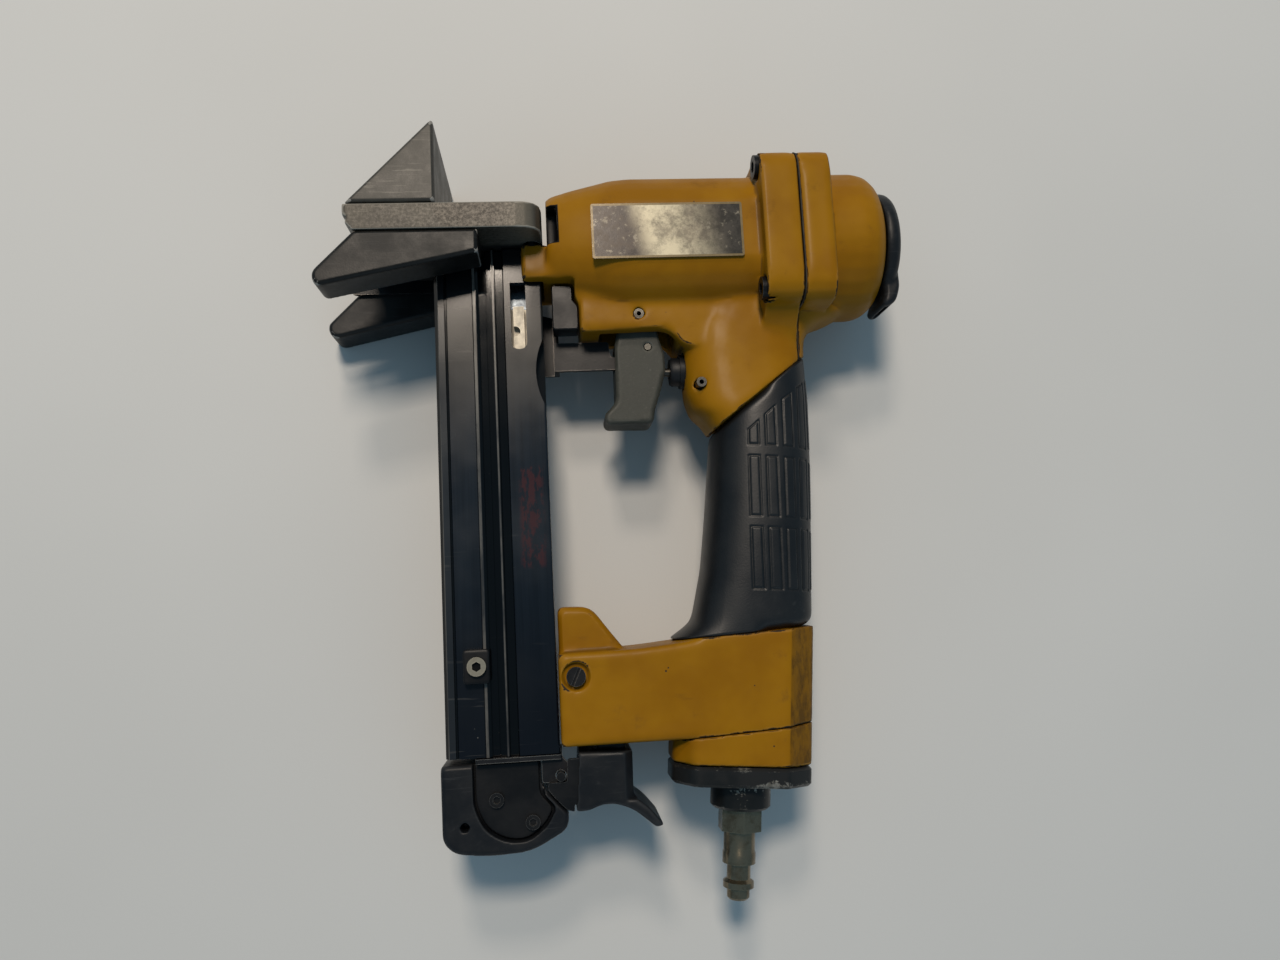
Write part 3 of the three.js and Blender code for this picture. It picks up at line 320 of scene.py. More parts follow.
def yellow_enamel():
    """Ochre enamel with brown dirt in patches, darker brown in the hollows and a few chips, a painted
    highlight along its edges, and painted shade in the nose pocket and on the lower ring's facet.
    """
    s = Shade("yellow_enamel")
    cloud = s.noise(38, 3, 0.6)
    grime = s.noise(90, 6, 0.7)
    base = s.mix(s.between(cloud, 0.35, 0.68), (0.283, 0.129, 0.0028), (0.238, 0.102, 0.0020))
    dirt_and_highlight = s.mix(s.between(grime, 0.58, 0.78, 0, 0.45), base, (0.13, 0.058, 0.009))
    smear = s.noise(120, 4, 0.6, s.stretched(0.35, 1.2, 1))
    dirt_and_highlight = s.mix(s.between(smear, 0.64, 0.8, 0, 0.3), dirt_and_highlight, (0.07, 0.035, 0.010))
    hollow = s.between(s.attribute("hollow"), 0.25, 1.0, 0, 0.6)
    dirt_and_highlight = s.mix(hollow, dirt_and_highlight, (0.05, 0.026, 0.008))
    edge = s.between(s.attribute("edge"), 0.35, 1.0)
    # painted highlight: the enamel drawn paler along its edges
    pale = s.maths("MULTIPLY", edge, 0.25)
    dirt_and_highlight = s.mix(pale, dirt_and_highlight, (0.42, 0.22, 0.05))
    worn = s.wear(edge, 260, 0.3)
    dirt_and_highlight = s.mix(worn, dirt_and_highlight, (0.035, 0.024, 0.014))
    speck = s.cells(210)
    chosen = s.noise(60, 2)
    chip = s.maths("MULTIPLY", s.between(speck, 0.055, 0.095, 1, 0), s.between(chosen, 0.61, 0.65))
    colour = s.mix(chip, dirt_and_highlight, (0.03, 0.022, 0.016))
    # painted shade: the screw pocket in the nose end drawn near-black
    pocket_shade = s.within(at(-33.5, 85.6, 8.5), at(-26.8, 101.4, 25))
    colour = s.mix(pocket_shade, colour, (0.006, 0.006, 0.007))
    # painted shade: the facet at the right of the handle's lower ring drawn darker, in streaks
    streaky_shade = s.between(s.noise(170, 5, 0.7, s.stretched(1.3, 0.5, 1)), 0.4, 0.62, 0.35, 0.8)
    colour = s.mix(s.maths("MULTIPLY", ring_facet(s), streaky_shade), colour, (0.060, 0.030, 0.006))
    peel = s.noise(950, 2, 0.5)
    height = s.maths("ADD", s.maths("MULTIPLY", peel, 0.3), s.maths("MULTIPLY", s.noise(220, 3), 0.4))
    height = s.maths("SUBTRACT", height, s.maths("MULTIPLY", s.maths("MAXIMUM", chip, worn), 0.9))
    rough = s.between(grime, 0.35, 0.75, 0.40, 0.58)
    rough = s.maths("ADD", rough, s.maths("MULTIPLY", worn, 0.2))
    s.set(Base_Color=colour, Roughness=rough, Normal=s.bump(height, 0.0001, 0.45))
    s.set(Metallic=0.0, Coat_Weight=0.045, Coat_Roughness=0.22, Specular_IOR_Level=0.09)
    return s.material


def black_rubber():
    """Near-black rubber with pale dust, in patches, and on the rims of the pads."""
    s = Shade("black_rubber")
    cloud = s.noise(45, 4, 0.6)
    base = s.mix(s.between(cloud, 0.35, 0.7), (0.0040, 0.0045, 0.0055), (0.008, 0.009, 0.010))
    dust = s.noise(300, 6, 0.75)
    patch = s.between(s.noise(30, 3), 0.45, 0.7)
    dusty = s.maths("MULTIPLY", s.between(dust, 0.54, 0.72, 0, 0.4), patch)
    rim = s.between(s.attribute("edge"), 0.3, 1.0, 0, 0.3)
    colour = s.mix(s.maths("MAXIMUM", dusty, rim), base, (0.045, 0.046, 0.046))
    hollow = s.between(s.attribute("hollow"), 0.3, 1.0, 0, 0.8)
    colour = s.mix(hollow, colour, (0.003, 0.003, 0.003))
    grain = s.noise(1500, 3, 0.6)
    rough = s.between(cloud, 0.3, 0.7, 0.38, 0.5)
    s.set(Base_Color=colour, Roughness=rough, Normal=s.bump(grain, 0.00008, 0.5))
    s.set(Specular_IOR_Level=0.42)
    return s.material


# ridges of the magazine drawn with a painted highlight
RIDGES = ((-59.5, -58.5), (-52.2, -51.6), (-73.0, -72.2))    # each from X to X, as long as the magazine
# grooves of the magazine drawn near-black as painted shade
GROOVES = ((-58.3, -52.3), (-51.6, -49.2))
MAGAZINE_LOW, MAGAZINE_HIGH = -97, 88


def anodised_alloy():
    """Glossy black extrusion with a rubbed dull red patch; painted highlights on its ridges, a painted
    sheen on its upper part, painted shade on its lower half and in its grooves, and a painted shadow
    under the nose.
    """
    s = Shade("anodised_alloy")
    _, y, z = s.position()
    drawn = s.noise(900, 3, 0.6, s.stretched(1, 0.02, 1))
    cloud = s.noise(28, 3, 0.6)
    base = s.mix(s.between(drawn, 0.3, 0.7), (0.0045, 0.008, 0.013), (0.008, 0.013, 0.020))
    base = s.mix(s.between(cloud, 0.45, 0.7, 0, 0.5), base, (0.014, 0.019, 0.025))
    # painted sheen: the upper part drawn greyer
    base = s.mix(s.between(y, at(0, 10, 0).y, at(0, 62, 0).y), base, (0.011, 0.011, 0.0095))
    # painted shade: the lower half drawn near-black
    base = s.mix(s.between(y, at(0, -88, 0).y, at(0, -12, 0).y, 0.9, 0), base, (0.002, 0.003, 0.006))
    left_wall = s.within(at(-74, -100, 0), at(-69.4, 90, 40))
    base = s.mix(s.maths("MULTIPLY", left_wall, 0.6), base, (0.022, 0.026, 0.030))
    # painted shadow of the nose and feet over the magazine's top
    nose_shadow = s.within(at(-80, 64.5, -40), at(-20, 90, 40), 0.002)
    base = s.mix(s.maths("MULTIPLY", nose_shadow, 0.8), base, (0.002, 0.002, 0.003))
    rubbed_patch = s.within(at(-44.6, -31, 9), at(-36.4, 5, 15), 0.0012)
    hatch = s.between(s.noise(420, 4, 0.7, s.stretched(1, 0.35, 1)), 0.44, 0.56)
    red = s.maths("MULTIPLY", rubbed_patch, s.maths("MULTIPLY", hatch, 0.75))
    base = s.mix(red, base, (0.048, 0.014, 0.016))
    scratched = s.between(s.noise(22, 2), 0.5, 0.62, 0, 0.12)
    line = s.maths("MULTIPLY", s.scratches(1.25, 42, 0.02), scratched)
    speck = s.between(s.cells(330), 0.05, 0.09, 1, 0)
    speck = s.maths("MULTIPLY", speck, s.between(s.noise(45, 2), 0.6, 0.66, 0, 0.5))
    light = s.maths("MAXIMUM", line, speck)
    # painted highlights: the ridges drawn pale in patches, together with the real scratches and specks
    patchy = s.between(s.noise(160, 5, 0.7, s.stretched(1, 0.2, 1)), 0.36, 0.62, 0.25, 1)
    for left, right in RIDGES:
        ridge = s.within(at(left, MAGAZINE_LOW, 10.2), at(right, MAGAZINE_HIGH, 14), 0.0001)
        light = s.maths("MAXIMUM", light, s.maths("MULTIPLY", ridge, s.maths("MULTIPLY", patchy, 0.5)))
    colour = s.mix(light, base, (0.20, 0.19, 0.17))
    # painted shade: the grooves and all faces sunk below the rails drawn near-black
    recess_shade = s.between(z, at(0, 0, 10.5).z, at(0, 0, 10.9).z, 0.92, 0)
    for left, right in GROOVES:
        groove = s.within(at(left, MAGAZINE_LOW, -14), at(right, MAGAZINE_HIGH, 14))
        recess_shade = s.maths("MAXIMUM", recess_shade, s.maths("MULTIPLY", groove, 0.92))
    colour = s.mix(recess_shade, colour, (0.0008, 0.0008, 0.001))
    rough = s.between(cloud, 0.3, 0.7, 0.18, 0.28)
    rough = s.maths("MULTIPLY", rough, s.between(recess_shade, 0, 1, 1, 0.45))
    height = s.maths("ADD", s.maths("MULTIPLY", drawn, 0.4), s.noise(1300, 2))
    s.set(Base_Color=colour, Roughness=rough, Metallic=0.05, Normal=s.bump(height, 0.00002, 0.4))
    return s.material


def satin_black(name, base, worn_to, amount, shine):
    """Black finish, dusty and scratched; worn_to shows at its edges, by amount from 0 to 1."""
    s = Shade(name)
    cloud = s.noise(70, 4, 0.6)
    tone = s.mix(s.between(cloud, 0.35, 0.7), base, tuple(1.6 * c for c in base))
    nick = s.wear(s.edges(0.0005), 480, amount)
    dust = s.between(s.noise(420, 6, 0.75), 0.58, 0.74, 0, 0.2)
    scratched = s.between(s.noise(40, 2), 0.5, 0.6, 0, 0.2)
    line = s.maths("MULTIPLY", s.scratches(0.5, 60, 0.015), scratched)
    tone = s.mix(s.maths("MAXIMUM", dust, line), tone, tuple(3 * c for c in base))
    colour = s.mix(nick, tone, worn_to)
    rough = s.between(cloud, 0.3, 0.7, shine, shine + 0.16)
    grain = s.noise(1400, 3, 0.6)
    s.set(Base_Color=colour, Roughness=rough, Metallic=s.between(nick, 0, 1, 0.1, 0.8))
    s.set(Normal=s.bump(grain, 0.00005, 0.5))
    return s.material


def cap_black():
    """Black end cap, chipped to bare alloy in patches round its edges."""
    s = Shade("cap_black")
    cloud = s.noise(70, 4, 0.6)
    tone = s.mix(s.between(cloud, 0.35, 0.7), (0.007, 0.008, 0.008), (0.013, 0.013, 0.013))
    edge = s.edges(0.0014, 0.01, 0.15)
    low_rim = s.within(at(24, -117, -30), at(58, -110.5, 30), 0.0015)
    worn = s.maths("ADD", s.maths("MULTIPLY", edge, 0.12), s.noise(210, 6, 0.7))
    worn = s.maths("ADD", worn, s.maths("MULTIPLY", low_rim, 0.1))
    chip = s.between(worn, 0.645, 0.67)
    bare = s.mix(s.between(s.noise(500, 4, 0.7), 0.4, 0.65), (0.26, 0.245, 0.215), (0.12, 0.11, 0.09))
    colour = s.mix(chip, tone, bare)
    rough = s.between(cloud, 0.3, 0.7, 0.3, 0.45)
    s.set(Base_Color=colour, Roughness=rough, Metallic=s.between(chip, 0, 1, 0.05, 0.7))
    height = s.maths("SUBTRACT", s.maths("MULTIPLY", s.noise(1400, 3), 0.3), chip)
    s.set(Normal=s.bump(height, 0.0001, 0.5))
    return s.material


def moulded_plastic():
    """Black plastic, scuffed, with paler edges and thin scratches."""
    s = Shade("moulded_plastic")
    cloud = s.noise(60, 4, 0.6)
    base = s.mix(s.between(cloud, 0.35, 0.7), (0.0055, 0.0065, 0.0085), (0.010, 0.011, 0.0125))
    scuff = s.between(s.noise(240, 7, 0.8), 0.56, 0.72, 0, 0.3)
    rim = s.between(s.attribute("edge"), 0.35, 1.0, 0, 0.35)
    scratched = s.between(s.noise(35, 2), 0.5, 0.6, 0, 0.35)
    line = s.maths("MULTIPLY", s.scratches(0.9, 55, 0.02), scratched)
    light = s.maths("MAXIMUM", s.maths("MAXIMUM", scuff, rim), line)
    colour = s.mix(light, base, (0.040, 0.042, 0.044))
    grain = s.noise(1100, 3, 0.6)
    rough = s.between(cloud, 0.3, 0.7, 0.36, 0.5)
    s.set(Base_Color=colour, Roughness=rough, Normal=s.bump(grain, 0.00008, 0.5))
    return s.material


def bare_steel(name, base, dark, rough, brushed=(1, 1, 1), metal=0.9, shade_below=None):
    """Stained, brushed steel, rough between two limits; below a given height it is drawn near-black, as
    painted shade.
    """
    s = Shade(name)
    brush = s.noise(1400, 4, 0.65, s.stretched(*brushed))
    stain = s.noise(150, 6, 0.7)
    colour = s.mix(s.between(stain, 0.42, 0.7), base, dark)
    colour = s.mix(s.between(brush, 0.3, 0.75, 0, 0.3), colour, tuple(0.55 * c for c in base))
    bright = s.wear(s.edges(0.0005), 500, 0.8)
    colour = s.mix(bright, colour, tuple(min(1, 1.5 * c) for c in base))
    # painted shade: below the given height the steel is drawn near-black
    if shade_below is not None:
        level = at(0, 0, shade_below).z
        low = s.between(s.position()["Z"], level - 0.0001, level + 0.0001, 1, 0)
        colour = s.mix(low, colour, (0.004, 0.004, 0.004))
    roughness = s.between(stain, 0.35, 0.7, *rough)
    s.set(Base_Color=colour, Roughness=roughness, Metallic=metal)
    s.set(Normal=s.bump(brush, 0.00004, 0.6))
    return s.material


def nose_steel():
    """Flat steel rubbed smooth on the left and rough as cast on the right of a slanting step, with a
    painted highlight over its bend and painted shade at its right end.
    """
    s = Shade("nose_steel")
    x, y, z = s.position()
    slant = 0.55
    step = at(-70, 93, 0)
    step_at = step.x + slant * step.y
    across = s.maths("ADD", x, s.maths("MULTIPLY", y, slant))
    cast = s.between(across, step_at - 0.0008, step_at + 0.0008)
    fine = s.noise(2400, 3, 0.7)
    pits = s.noise(1100, 4, 0.7)
    tone = s.mix(s.between(pits, 0.42, 0.66), (0.075, 0.065, 0.051), (0.040, 0.034, 0.026))
    cloud = s.between(s.noise(160, 5, 0.7), 0.35, 0.7)
    rubbed = s.mix(cloud, (0.066, 0.059, 0.046), (0.044, 0.039, 0.031))
    colour = s.mix(cast, rubbed, tone)
    # painted highlight: the bend drawn brighter
    bend = s.between(x, at(-52, 0, 0).x, at(-36, 0, 0).x, 0, 0.7)
    colour = s.mix(bend, colour, (0.14, 0.125, 0.098))
    # painted shade at the right end, past the bend
    tail_shade = s.between(x, at(-37.5, 0, 0).x, at(-34.5, 0, 0).x, 0, 0.75)
    colour = s.mix(tail_shade, colour, (0.022, 0.020, 0.017))
    line = s.maths("MULTIPLY", s.scratches(0.35, 90, 0.03), 0.25)
    colour = s.mix(line, colour, (0.19, 0.17, 0.14))
    bright = s.between(s.attribute("edge"), 0.45, 1.0, 0, 0.55)
    colour = s.mix(bright, colour, (0.45, 0.42, 0.36))
    low = s.between(z, at(0, 0, 13).z, at(0, 0, 16).z, 1, 0)
    colour = s.mix(low, colour, (0.016, 0.015, 0.014))
    height = s.maths("MULTIPLY", pits, cast)
    height = s.maths("ADD", height, s.maths("MULTIPLY", fine, 0.3))
    rough = s.between(pits, 0.3, 0.7, 0.36, 0.5)
    s.set(Base_Color=colour, Roughness=rough, Metallic=0.12, Normal=s.bump(height, 0.00012, 0.5))
    return s.material


def foot_alloy(name, dull, light, specked):
    """Dark anodised foot, scratched, rubbed grey at its edges and specked with dark spots."""
    s = Shade(name)
    cloud = s.noise(80, 5, 0.65)
    base = s.mix(s.between(cloud, 0.35, 0.7), dull, light)
    cross = s.maths("MAXIMUM", s.scratches(0.2, 70, 0.03), s.scratches(1.7, 85, 0.02))
    base = s.mix(s.maths("MULTIPLY", cross, 0.4), base, tuple(2.3 * c for c in light))
    speck = s.between(s.noise(900, 5, 0.8), 0.58, 0.7, 0, specked)
    base = s.mix(speck, base, tuple(0.4 * c for c in dull))
    bright = s.wear(s.between(s.attribute("edge"), 0.4, 1.0), 420, 0.8)
    colour = s.mix(bright, base, (0.24, 0.23, 0.21))
    rough = s.between(cloud, 0.3, 0.7, 0.36, 0.52)
    s.set(Base_Color=colour, Roughness=rough, Metallic=0.1)
    s.set(Normal=s.bump(s.noise(1500, 4, 0.7), 0.00006, 0.5))
    return s.material


def trigger_casting():
    """Grey-green casting, specked, with pale edges and dark hollows."""
    s = Shade("trigger_casting")
    cloud = s.noise(130, 5, 0.65)
    base = s.mix(s.between(cloud, 0.35, 0.7), (0.036, 0.037, 0.030), (0.058, 0.058, 0.048))
    speck = s.between(s.noise(1200, 5, 0.8), 0.55, 0.72, 0, 0.4)
    base = s.mix(speck, base, (0.15, 0.148, 0.125))
    rim = s.between(s.attribute("edge"), 0.3, 1.0, 0, 0.35)
    hollow = s.between(s.attribute("hollow"), 0.3, 1.0, 0, 0.6)
    colour = s.mix(rim, base, (0.19, 0.187, 0.165))
    colour = s.mix(hollow, colour, (0.03, 0.03, 0.026))
    rough = s.between(cloud, 0.3, 0.7, 0.45, 0.62)
    s.set(Base_Color=colour, Roughness=rough, Metallic=0.05)
    s.set(Normal=s.bump(s.noise(1600, 4, 0.7), 0.0001, 0.5))
    return s.material


def label_film():
    """Blank plate, dark towards both ends, with a painted lamp reflection, broken up, across the
    middle.
    """
    s = Shade("label_film")
    low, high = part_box("label_plate")
    x, y, _ = s.position()
    length = high.x - low.x
    rub = s.noise(160, 6, 0.75)
    dark = s.mix(s.between(rub, 0.4, 0.66), (0.030, 0.022, 0.018), (0.07, 0.052, 0.038))
    right = s.between(x, low.x + 0.6 * length, low.x + 0.95 * length)
    dark = s.mix(right, dark, (0.030, 0.027, 0.022))
    # painted reflection: a lamp's glare, broken up, across the middle of the plate
    slant = 0.25
    across = s.maths("ADD", x, s.maths("MULTIPLY", y, slant))
    start = low.x + slant * low.y
    into = s.between(across, start + 0.28 * length, start + 0.46 * length)
    away = s.between(across, start + 0.55 * length, start + 0.95 * length, 1, 0)
    broken = s.between(s.noise(110, 6, 0.8), 0.36, 0.6, 0.35, 1)
    bare = s.maths("MULTIPLY", s.maths("MULTIPLY", into, away), broken)
    colour = s.mix(bare, dark, (0.54, 0.475, 0.33))
    flake = s.between(s.noise(340, 5, 0.8), 0.57, 0.64, 0, 0.5)
    colour = s.mix(flake, colour, (0.30, 0.265, 0.20))
    border = Vector((0.0008, 0.0008, 0))
    inner = s.within((*(low + border).xy, None), (*(high - border).xy, None), 0.0001)
    colour = s.mix(inner, (0.17, 0.125, 0.06), colour)
    rough = s.between(rub, 0.35, 0.7, 0.22, 0.4)
    s.set(Base_Color=colour, Roughness=rough, Metallic=0.1, Normal=s.bump(rub, 0.00004, 0.6))
    return s.material


def seal_rubber():
    """Dull dark rubber of the rings inside."""
    s = Shade("seal_rubber")
    cloud = s.noise(200, 4, 0.6)
    colour = s.mix(s.between(cloud, 0.35, 0.7), (0.020, 0.018, 0.015), (0.045, 0.038, 0.028))
    s.set(Base_Color=colour, Roughness=0.7, Normal=s.bump(s.noise(1200), 0.00005, 0.5))
    return s.material


def floor_board():
    """Plain pale floor."""
    s = Shade("floor_board")
    broad = s.noise(3.5, 3, 0.5)
    fine = s.noise(900, 4, 0.6)
    colour = s.mix(s.between(broad, 0.3, 0.7), (0.565, 0.565, 0.55), (0.595, 0.595, 0.58))
    s.set(Base_Color=colour, Roughness=0.62, Normal=s.bump(fine, 0.00006, 0.4))
    return s.material


PLATED = bare_steel("plated_steel", (0.21, 0.175, 0.12), (0.085, 0.068, 0.042), (0.2, 0.36))
BRIGHT = bare_steel(
    "bright_steel", (0.50, 0.48, 0.44), (0.28, 0.26, 0.23), (0.24, 0.38), brushed=(1, 0.1, 1)
)
PIN = bare_steel("dull_pin", (0.085, 0.08, 0.07), (0.03, 0.028, 0.025), (0.3, 0.45))
BLACK_STEEL = satin_black("black_steel", (0.0045, 0.0045, 0.005), (0.14, 0.13, 0.12), 0.3, 0.3)
LOOKS = {                                # by the record's material slot
    "yellow_cast": yellow_enamel(),
    "rubber_black": black_rubber(),
    "black_steel": BLACK_STEEL,
    "black_plastic": moulded_plastic(),
    "bare_steel": BRIGHT,
    "grey_cast": trigger_casting(),
    "black_alloy": anodised_alloy(),
    "label": label_film(),
    "seal_rubber": seal_rubber(),
}
OWN_LOOKS = {                            # nodes that look different from the rest of their slot
    "nose_plate": nose_steel(),
    "subfloor_foot": foot_alloy(
        "rubbed_foot", (0.040, 0.038, 0.033), (0.066, 0.062, 0.053), 0.5
    ),
    "plank_foot_near": foot_alloy(
        "near_foot", (0.0065, 0.0065, 0.006), (0.013, 0.013, 0.012), 0.6
    ),
    "plank_foot_far": foot_alloy("far_foot", (0.008, 0.008, 0.008), (0.014, 0.014, 0.014), 0.6),
    "end_cap": cap_black(),
    "inlet_boss": cap_black(),
    "air_plug": PLATED,
    # black steel; where the guide fills the notch under the housing, its black also stands in for
    # painted shade
    "arm_guide": BLACK_STEEL,
    "end_plate": satin_black(
        "plate_black", (0.008, 0.008, 0.009), (0.30, 0.28, 0.25), 0.95, 0.3
    ),
    "latch_pin": BLACK_STEEL,
    # painted shade in the hex socket, below its rim
    "stop_screw": bare_steel(
        "screw_head", (0.30, 0.27, 0.21), (0.15, 0.13, 0.10), (0.3, 0.45), metal=0.5,
        shade_below=17.1,
    ),
    "trigger_pivot_pin": PIN,
    "valve_pin": PIN,
    "trip_lever_pin": PIN,
    "valve_stem": PIN,
    "staple_strip": bare_steel(
        "staple_wire", (0.10, 0.115, 0.13), (0.03, 0.034, 0.04), (0.25, 0.4)
    ),
    "pusher": bare_steel(
        "pusher_plate", (0.52, 0.48, 0.39), (0.36, 0.33, 0.27), (0.35, 0.5), metal=0.15
    ),
}


def look_of(node):
    """The node's own material, or else its slot's."""
    return OWN_LOOKS.get(node, LOOKS[SLOT_OF[node]])


# ---- new pieces ---------------------------------------------------------------------------------


def dress(mesh, node):
    """Gives a mesh the node's material, with smooth shading."""
    mesh.materials.clear()
    mesh.materials.append(look_of(node))
    mesh.polygons.foreach_set("use_smooth", [True] * len(mesh.polygons))


def stand_for(name, mesh, node):
    """Adds a mesh as the piece that replaces a CAD node, riding on that node's body."""
    obj = bpy.data.objects.new(name, mesh)
    bpy.context.scene.collection.objects.link(obj)
    dress(mesh, node)
    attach(obj, BODY_OF[node])
    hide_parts(node)
    return obj


def remeshed(node, voxel):
    """The CAD node's surface as an even grid of small faces."""
    mesh = NODES[node].data.copy()
    obj = bpy.data.objects.new("scratch", mesh)
    bpy.context.scene.collection.objects.link(obj)
    weld = obj.modifiers.new("weld", "WELD")
    weld.merge_threshold = WELD_GAP
    modifier = obj.modifiers.new("remesh", "REMESH")
    modifier.mode = "VOXEL"
    modifier.voxel_size = voxel
    graph = bpy.context.evaluated_depsgraph_get()
    made = bpy.data.meshes.new_from_object(obj.evaluated_get(graph))
    bpy.data.objects.remove(obj)
    return made


def unit(vectors):
    """Each row scaled to length 1."""
    return vectors / np.maximum(np.linalg.norm(vectors, axis=1, keepdims=True), 1e-12)


PROJECTIONS = 12                         # passes that move points on to their evened faces
BEND_PASSES, BEND_GAIN = 2, 9            # for the edge and hollow values


def settle(mesh, voxel, turn_deg, passes, soften):
    """Melts flat facets that meet at less than turn_deg into one smooth surface, keeps sharper
    edges, then rounds those a little. Stores how far each point is an edge or a hollow."""
    count = len(mesh.vertices)
    points = np.empty(count * 3)
    mesh.vertices.foreach_get("co", points)
    points = points.reshape(-1, 3)
    mesh.calc_loop_triangles()
    faces = np.empty(len(mesh.loop_triangles) * 3, np.int64)
    mesh.loop_triangles.foreach_get("vertices", faces)
    faces = faces.reshape(-1, 3)
    sides = np.concatenate([faces[:, [0, 1]], faces[:, [1, 2]], faces[:, [2, 0]]])
    owner = np.tile(np.arange(len(faces)), 3)
    low, high = sides.min(1), sides.max(1)
    order = np.lexsort((high, low))
    low, high, owner = low[order], high[order], owner[order]
    same = (low[1:] == low[:-1]) & (high[1:] == high[:-1])
    first, second = owner[:-1][same], owner[1:][same]

    def face_normals(p):
        return np.cross(p[faces[:, 1]] - p[faces[:, 0]], p[faces[:, 2]] - p[faces[:, 0]])

    normals = unit(face_normals(points))
    limit = math.cos(math.radians(turn_deg))
    for _ in range(passes):
        likeness = (normals[first] * normals[second]).sum(1)
        weight = np.clip((likeness - limit) / (1 - limit), 0, 1)[:, None]
        total = normals.copy()
        for axis in range(3):
            total[:, axis] += np.bincount(first, (weight * normals[second])[:, axis], len(faces))
            total[:, axis] += np.bincount(second, (weight * normals[first])[:, axis], len(faces))
        normals = unit(total)
    share = np.bincount(faces.ravel(), minlength=count)[:, None]
    for _ in range(PROJECTIONS):
        centres = points[faces].mean(1)
        move = np.zeros_like(points)
        for corner in range(3):
            gap = centres - points[faces[:, corner]]
            step = normals * (gap * normals).sum(1)[:, None]
            for axis in range(3):
                move[:, axis] += np.bincount(faces[:, corner], step[:, axis], count)
        points += move / share
    a, b = sides[:, 0], sides[:, 1]
    valence = np.bincount(a, minlength=count)[:, None]

    def neighbour_mean(values):
        columns = [np.bincount(a, column, count) for column in values[b].T]
        return np.stack(columns, 1) / valence

    for _ in range(soften):
        points += 0.5 * (neighbour_mean(points) - points)
    flat = face_normals(points)
    at_points = np.zeros_like(points)
    for corner in range(3):
        for axis in range(3):
            at_points[:, axis] += np.bincount(faces[:, corner], flat[:, axis], count)
    at_points = unit(at_points)
    bend = ((points - neighbour_mean(points)) * at_points).sum(1)[:, None] / voxel
    for _ in range(BEND_PASSES):
        bend = 0.5 * (bend + neighbour_mean(bend))
    bend = bend[:, 0]
    mesh.vertices.foreach_set("co", points.astype(np.float32).ravel())
    for name, values in (("edge", bend), ("hollow", -bend)):
        stored = mesh.attributes.new(name, "FLOAT", "POINT")
        stored.data.foreach_set("value", np.clip(values * BEND_GAIN, 0, 1).astype(np.float32))
    mesh.update()


# Each node's grid in millimetres, the degrees under which its facets melt, and how many passes
# even out its faces and soften its edges.
CASTINGS = {
    "main_housing": (0.7, 24, 50, 1),
    "cylinder_cap": (0.6, 24, 50, 1),
    "magazine_bracket": (0.6, 24, 50, 1),
    "handle_end": (0.55, 24, 50, 1),
    "end_grip": (0.5, 20, 25, 2),
    "latch_lever": (0.45, 20, 25, 2),
    "trigger": (0.35, 22, 25, 2),
    "exhaust_deflector": (0.5, 24, 50, 2),
    "subfloor_foot": (0.5, 20, 15, 1),
    "plank_foot_near": (0.5, 20, 15, 1),
    "plank_foot_far": (0.5, 20, 15, 1),
    "nose_plate": (0.5, 20, 15, 1),
    "stop_block": (0.25, 22, 15, 1),
    "half_moon_plate": (0.3, 22, 15, 1),
}


def add_castings():
    for node, (grid, turn_deg, passes, soften) in CASTINGS.items():
        mesh = remeshed(node, grid * MM)
        settle(mesh, grid * MM, turn_deg, passes, soften)
        stand_for(node + "_skin", mesh, node)


# ---- rubber sleeve of the handle ----------------------------------------------------------------

SLEEVE_LOW, SLEEVE_HIGH = 45, 190        # along the handle, past both ends of the sleeve
ON_SLEEVE = (85, 115)                    # along the handle, on the sleeve at every angle
SLEEVE_MIDDLE = 3.6                      # of the section, to the right of the handle's line
SECTION_DEPTH = 18.7                     # of its near half, from the middle plane
MID_ALONG = 95                           # where the half width and the pad columns are given
HALF_WIDTH, NARROWING = 20, 0.045        # half the section's width there, and its loss per mm
PAD_RAISE = 0.14
PAD_EDGE = 0.75                          # width of a pad's slope
GROOVE_DEPTH = 0.42
GROOVE_HALF = 0.55                       # half the width of the groove round a pad
PAD_HALF_TURN = 5.6                      # degrees round the section, half a pad's width
PAD_COLUMNS = [(99.6, 0.185), (81, 0.155), (62.4, 0.105), (44, 0.06), (26, 0.03)]  # degrees, per mm
PAD_ROWS = [(69.5, 91.5), (95.5, 117.3), (121.5, 160)]
PAD_TOP, PAD_TOP_SLOPE = 130, 0.967      # the top row's slanting end: its height at the line
RINGS = 276
WALL_STEP = 11                           # the inner wall has one ring for this many outside
SLEEVE_WALL = 1.3
RIM_WIDTH, RIM_DROP = 0.6, 0.5           # of the rounded rim at both ends of the sleeve
FAR_OUT = 60                             # rays start this far from the section's middle
REACH_PASSES = 60                        # even out the facets of the CAD sleeve
END_HALVINGS = 14                        # steps of the search for the sleeve's ends
RIM_DUST, GROOVE_DARKENING = 0.4, 1.6         # how much a pad's top and its groove show in the looks


def by_handle(side, along, out):
    """Point given to the right of the handle's line, along it from its foot, and towards the viewer."""
    x = HANDLE_FOOT[0] + side * math.cos(LEAN) + along * math.sin(LEAN)
    y = HANDLE_FOOT[1] - side * math.sin(LEAN) + along * math.cos(LEAN)
    return at(x, y, out)


def section_half(along):
    return HALF_WIDTH - NARROWING * (along - MID_ALONG)


def smoothed(values, passes):
    """Evens out a grid of numbers, round its columns and along its rows."""
    for _ in range(passes):
        values = 0.5 * values + 0.25 * (np.roll(values, 1, 1) + np.roll(values, -1, 1))
        before = 2 * values[:1] - values[1:2]
        after = 2 * values[-1:] - values[-2:-1]
        longer = np.concatenate([before, values, after])
        values = 0.5 * values + 0.25 * (longer[2:] + longer[:-2])
    return values


def rise(distance, width):
    """Eases from 0 to 1 over a width."""
    share = np.clip(distance / width, 0, 1)
    return share * share * (3 - 2 * share)


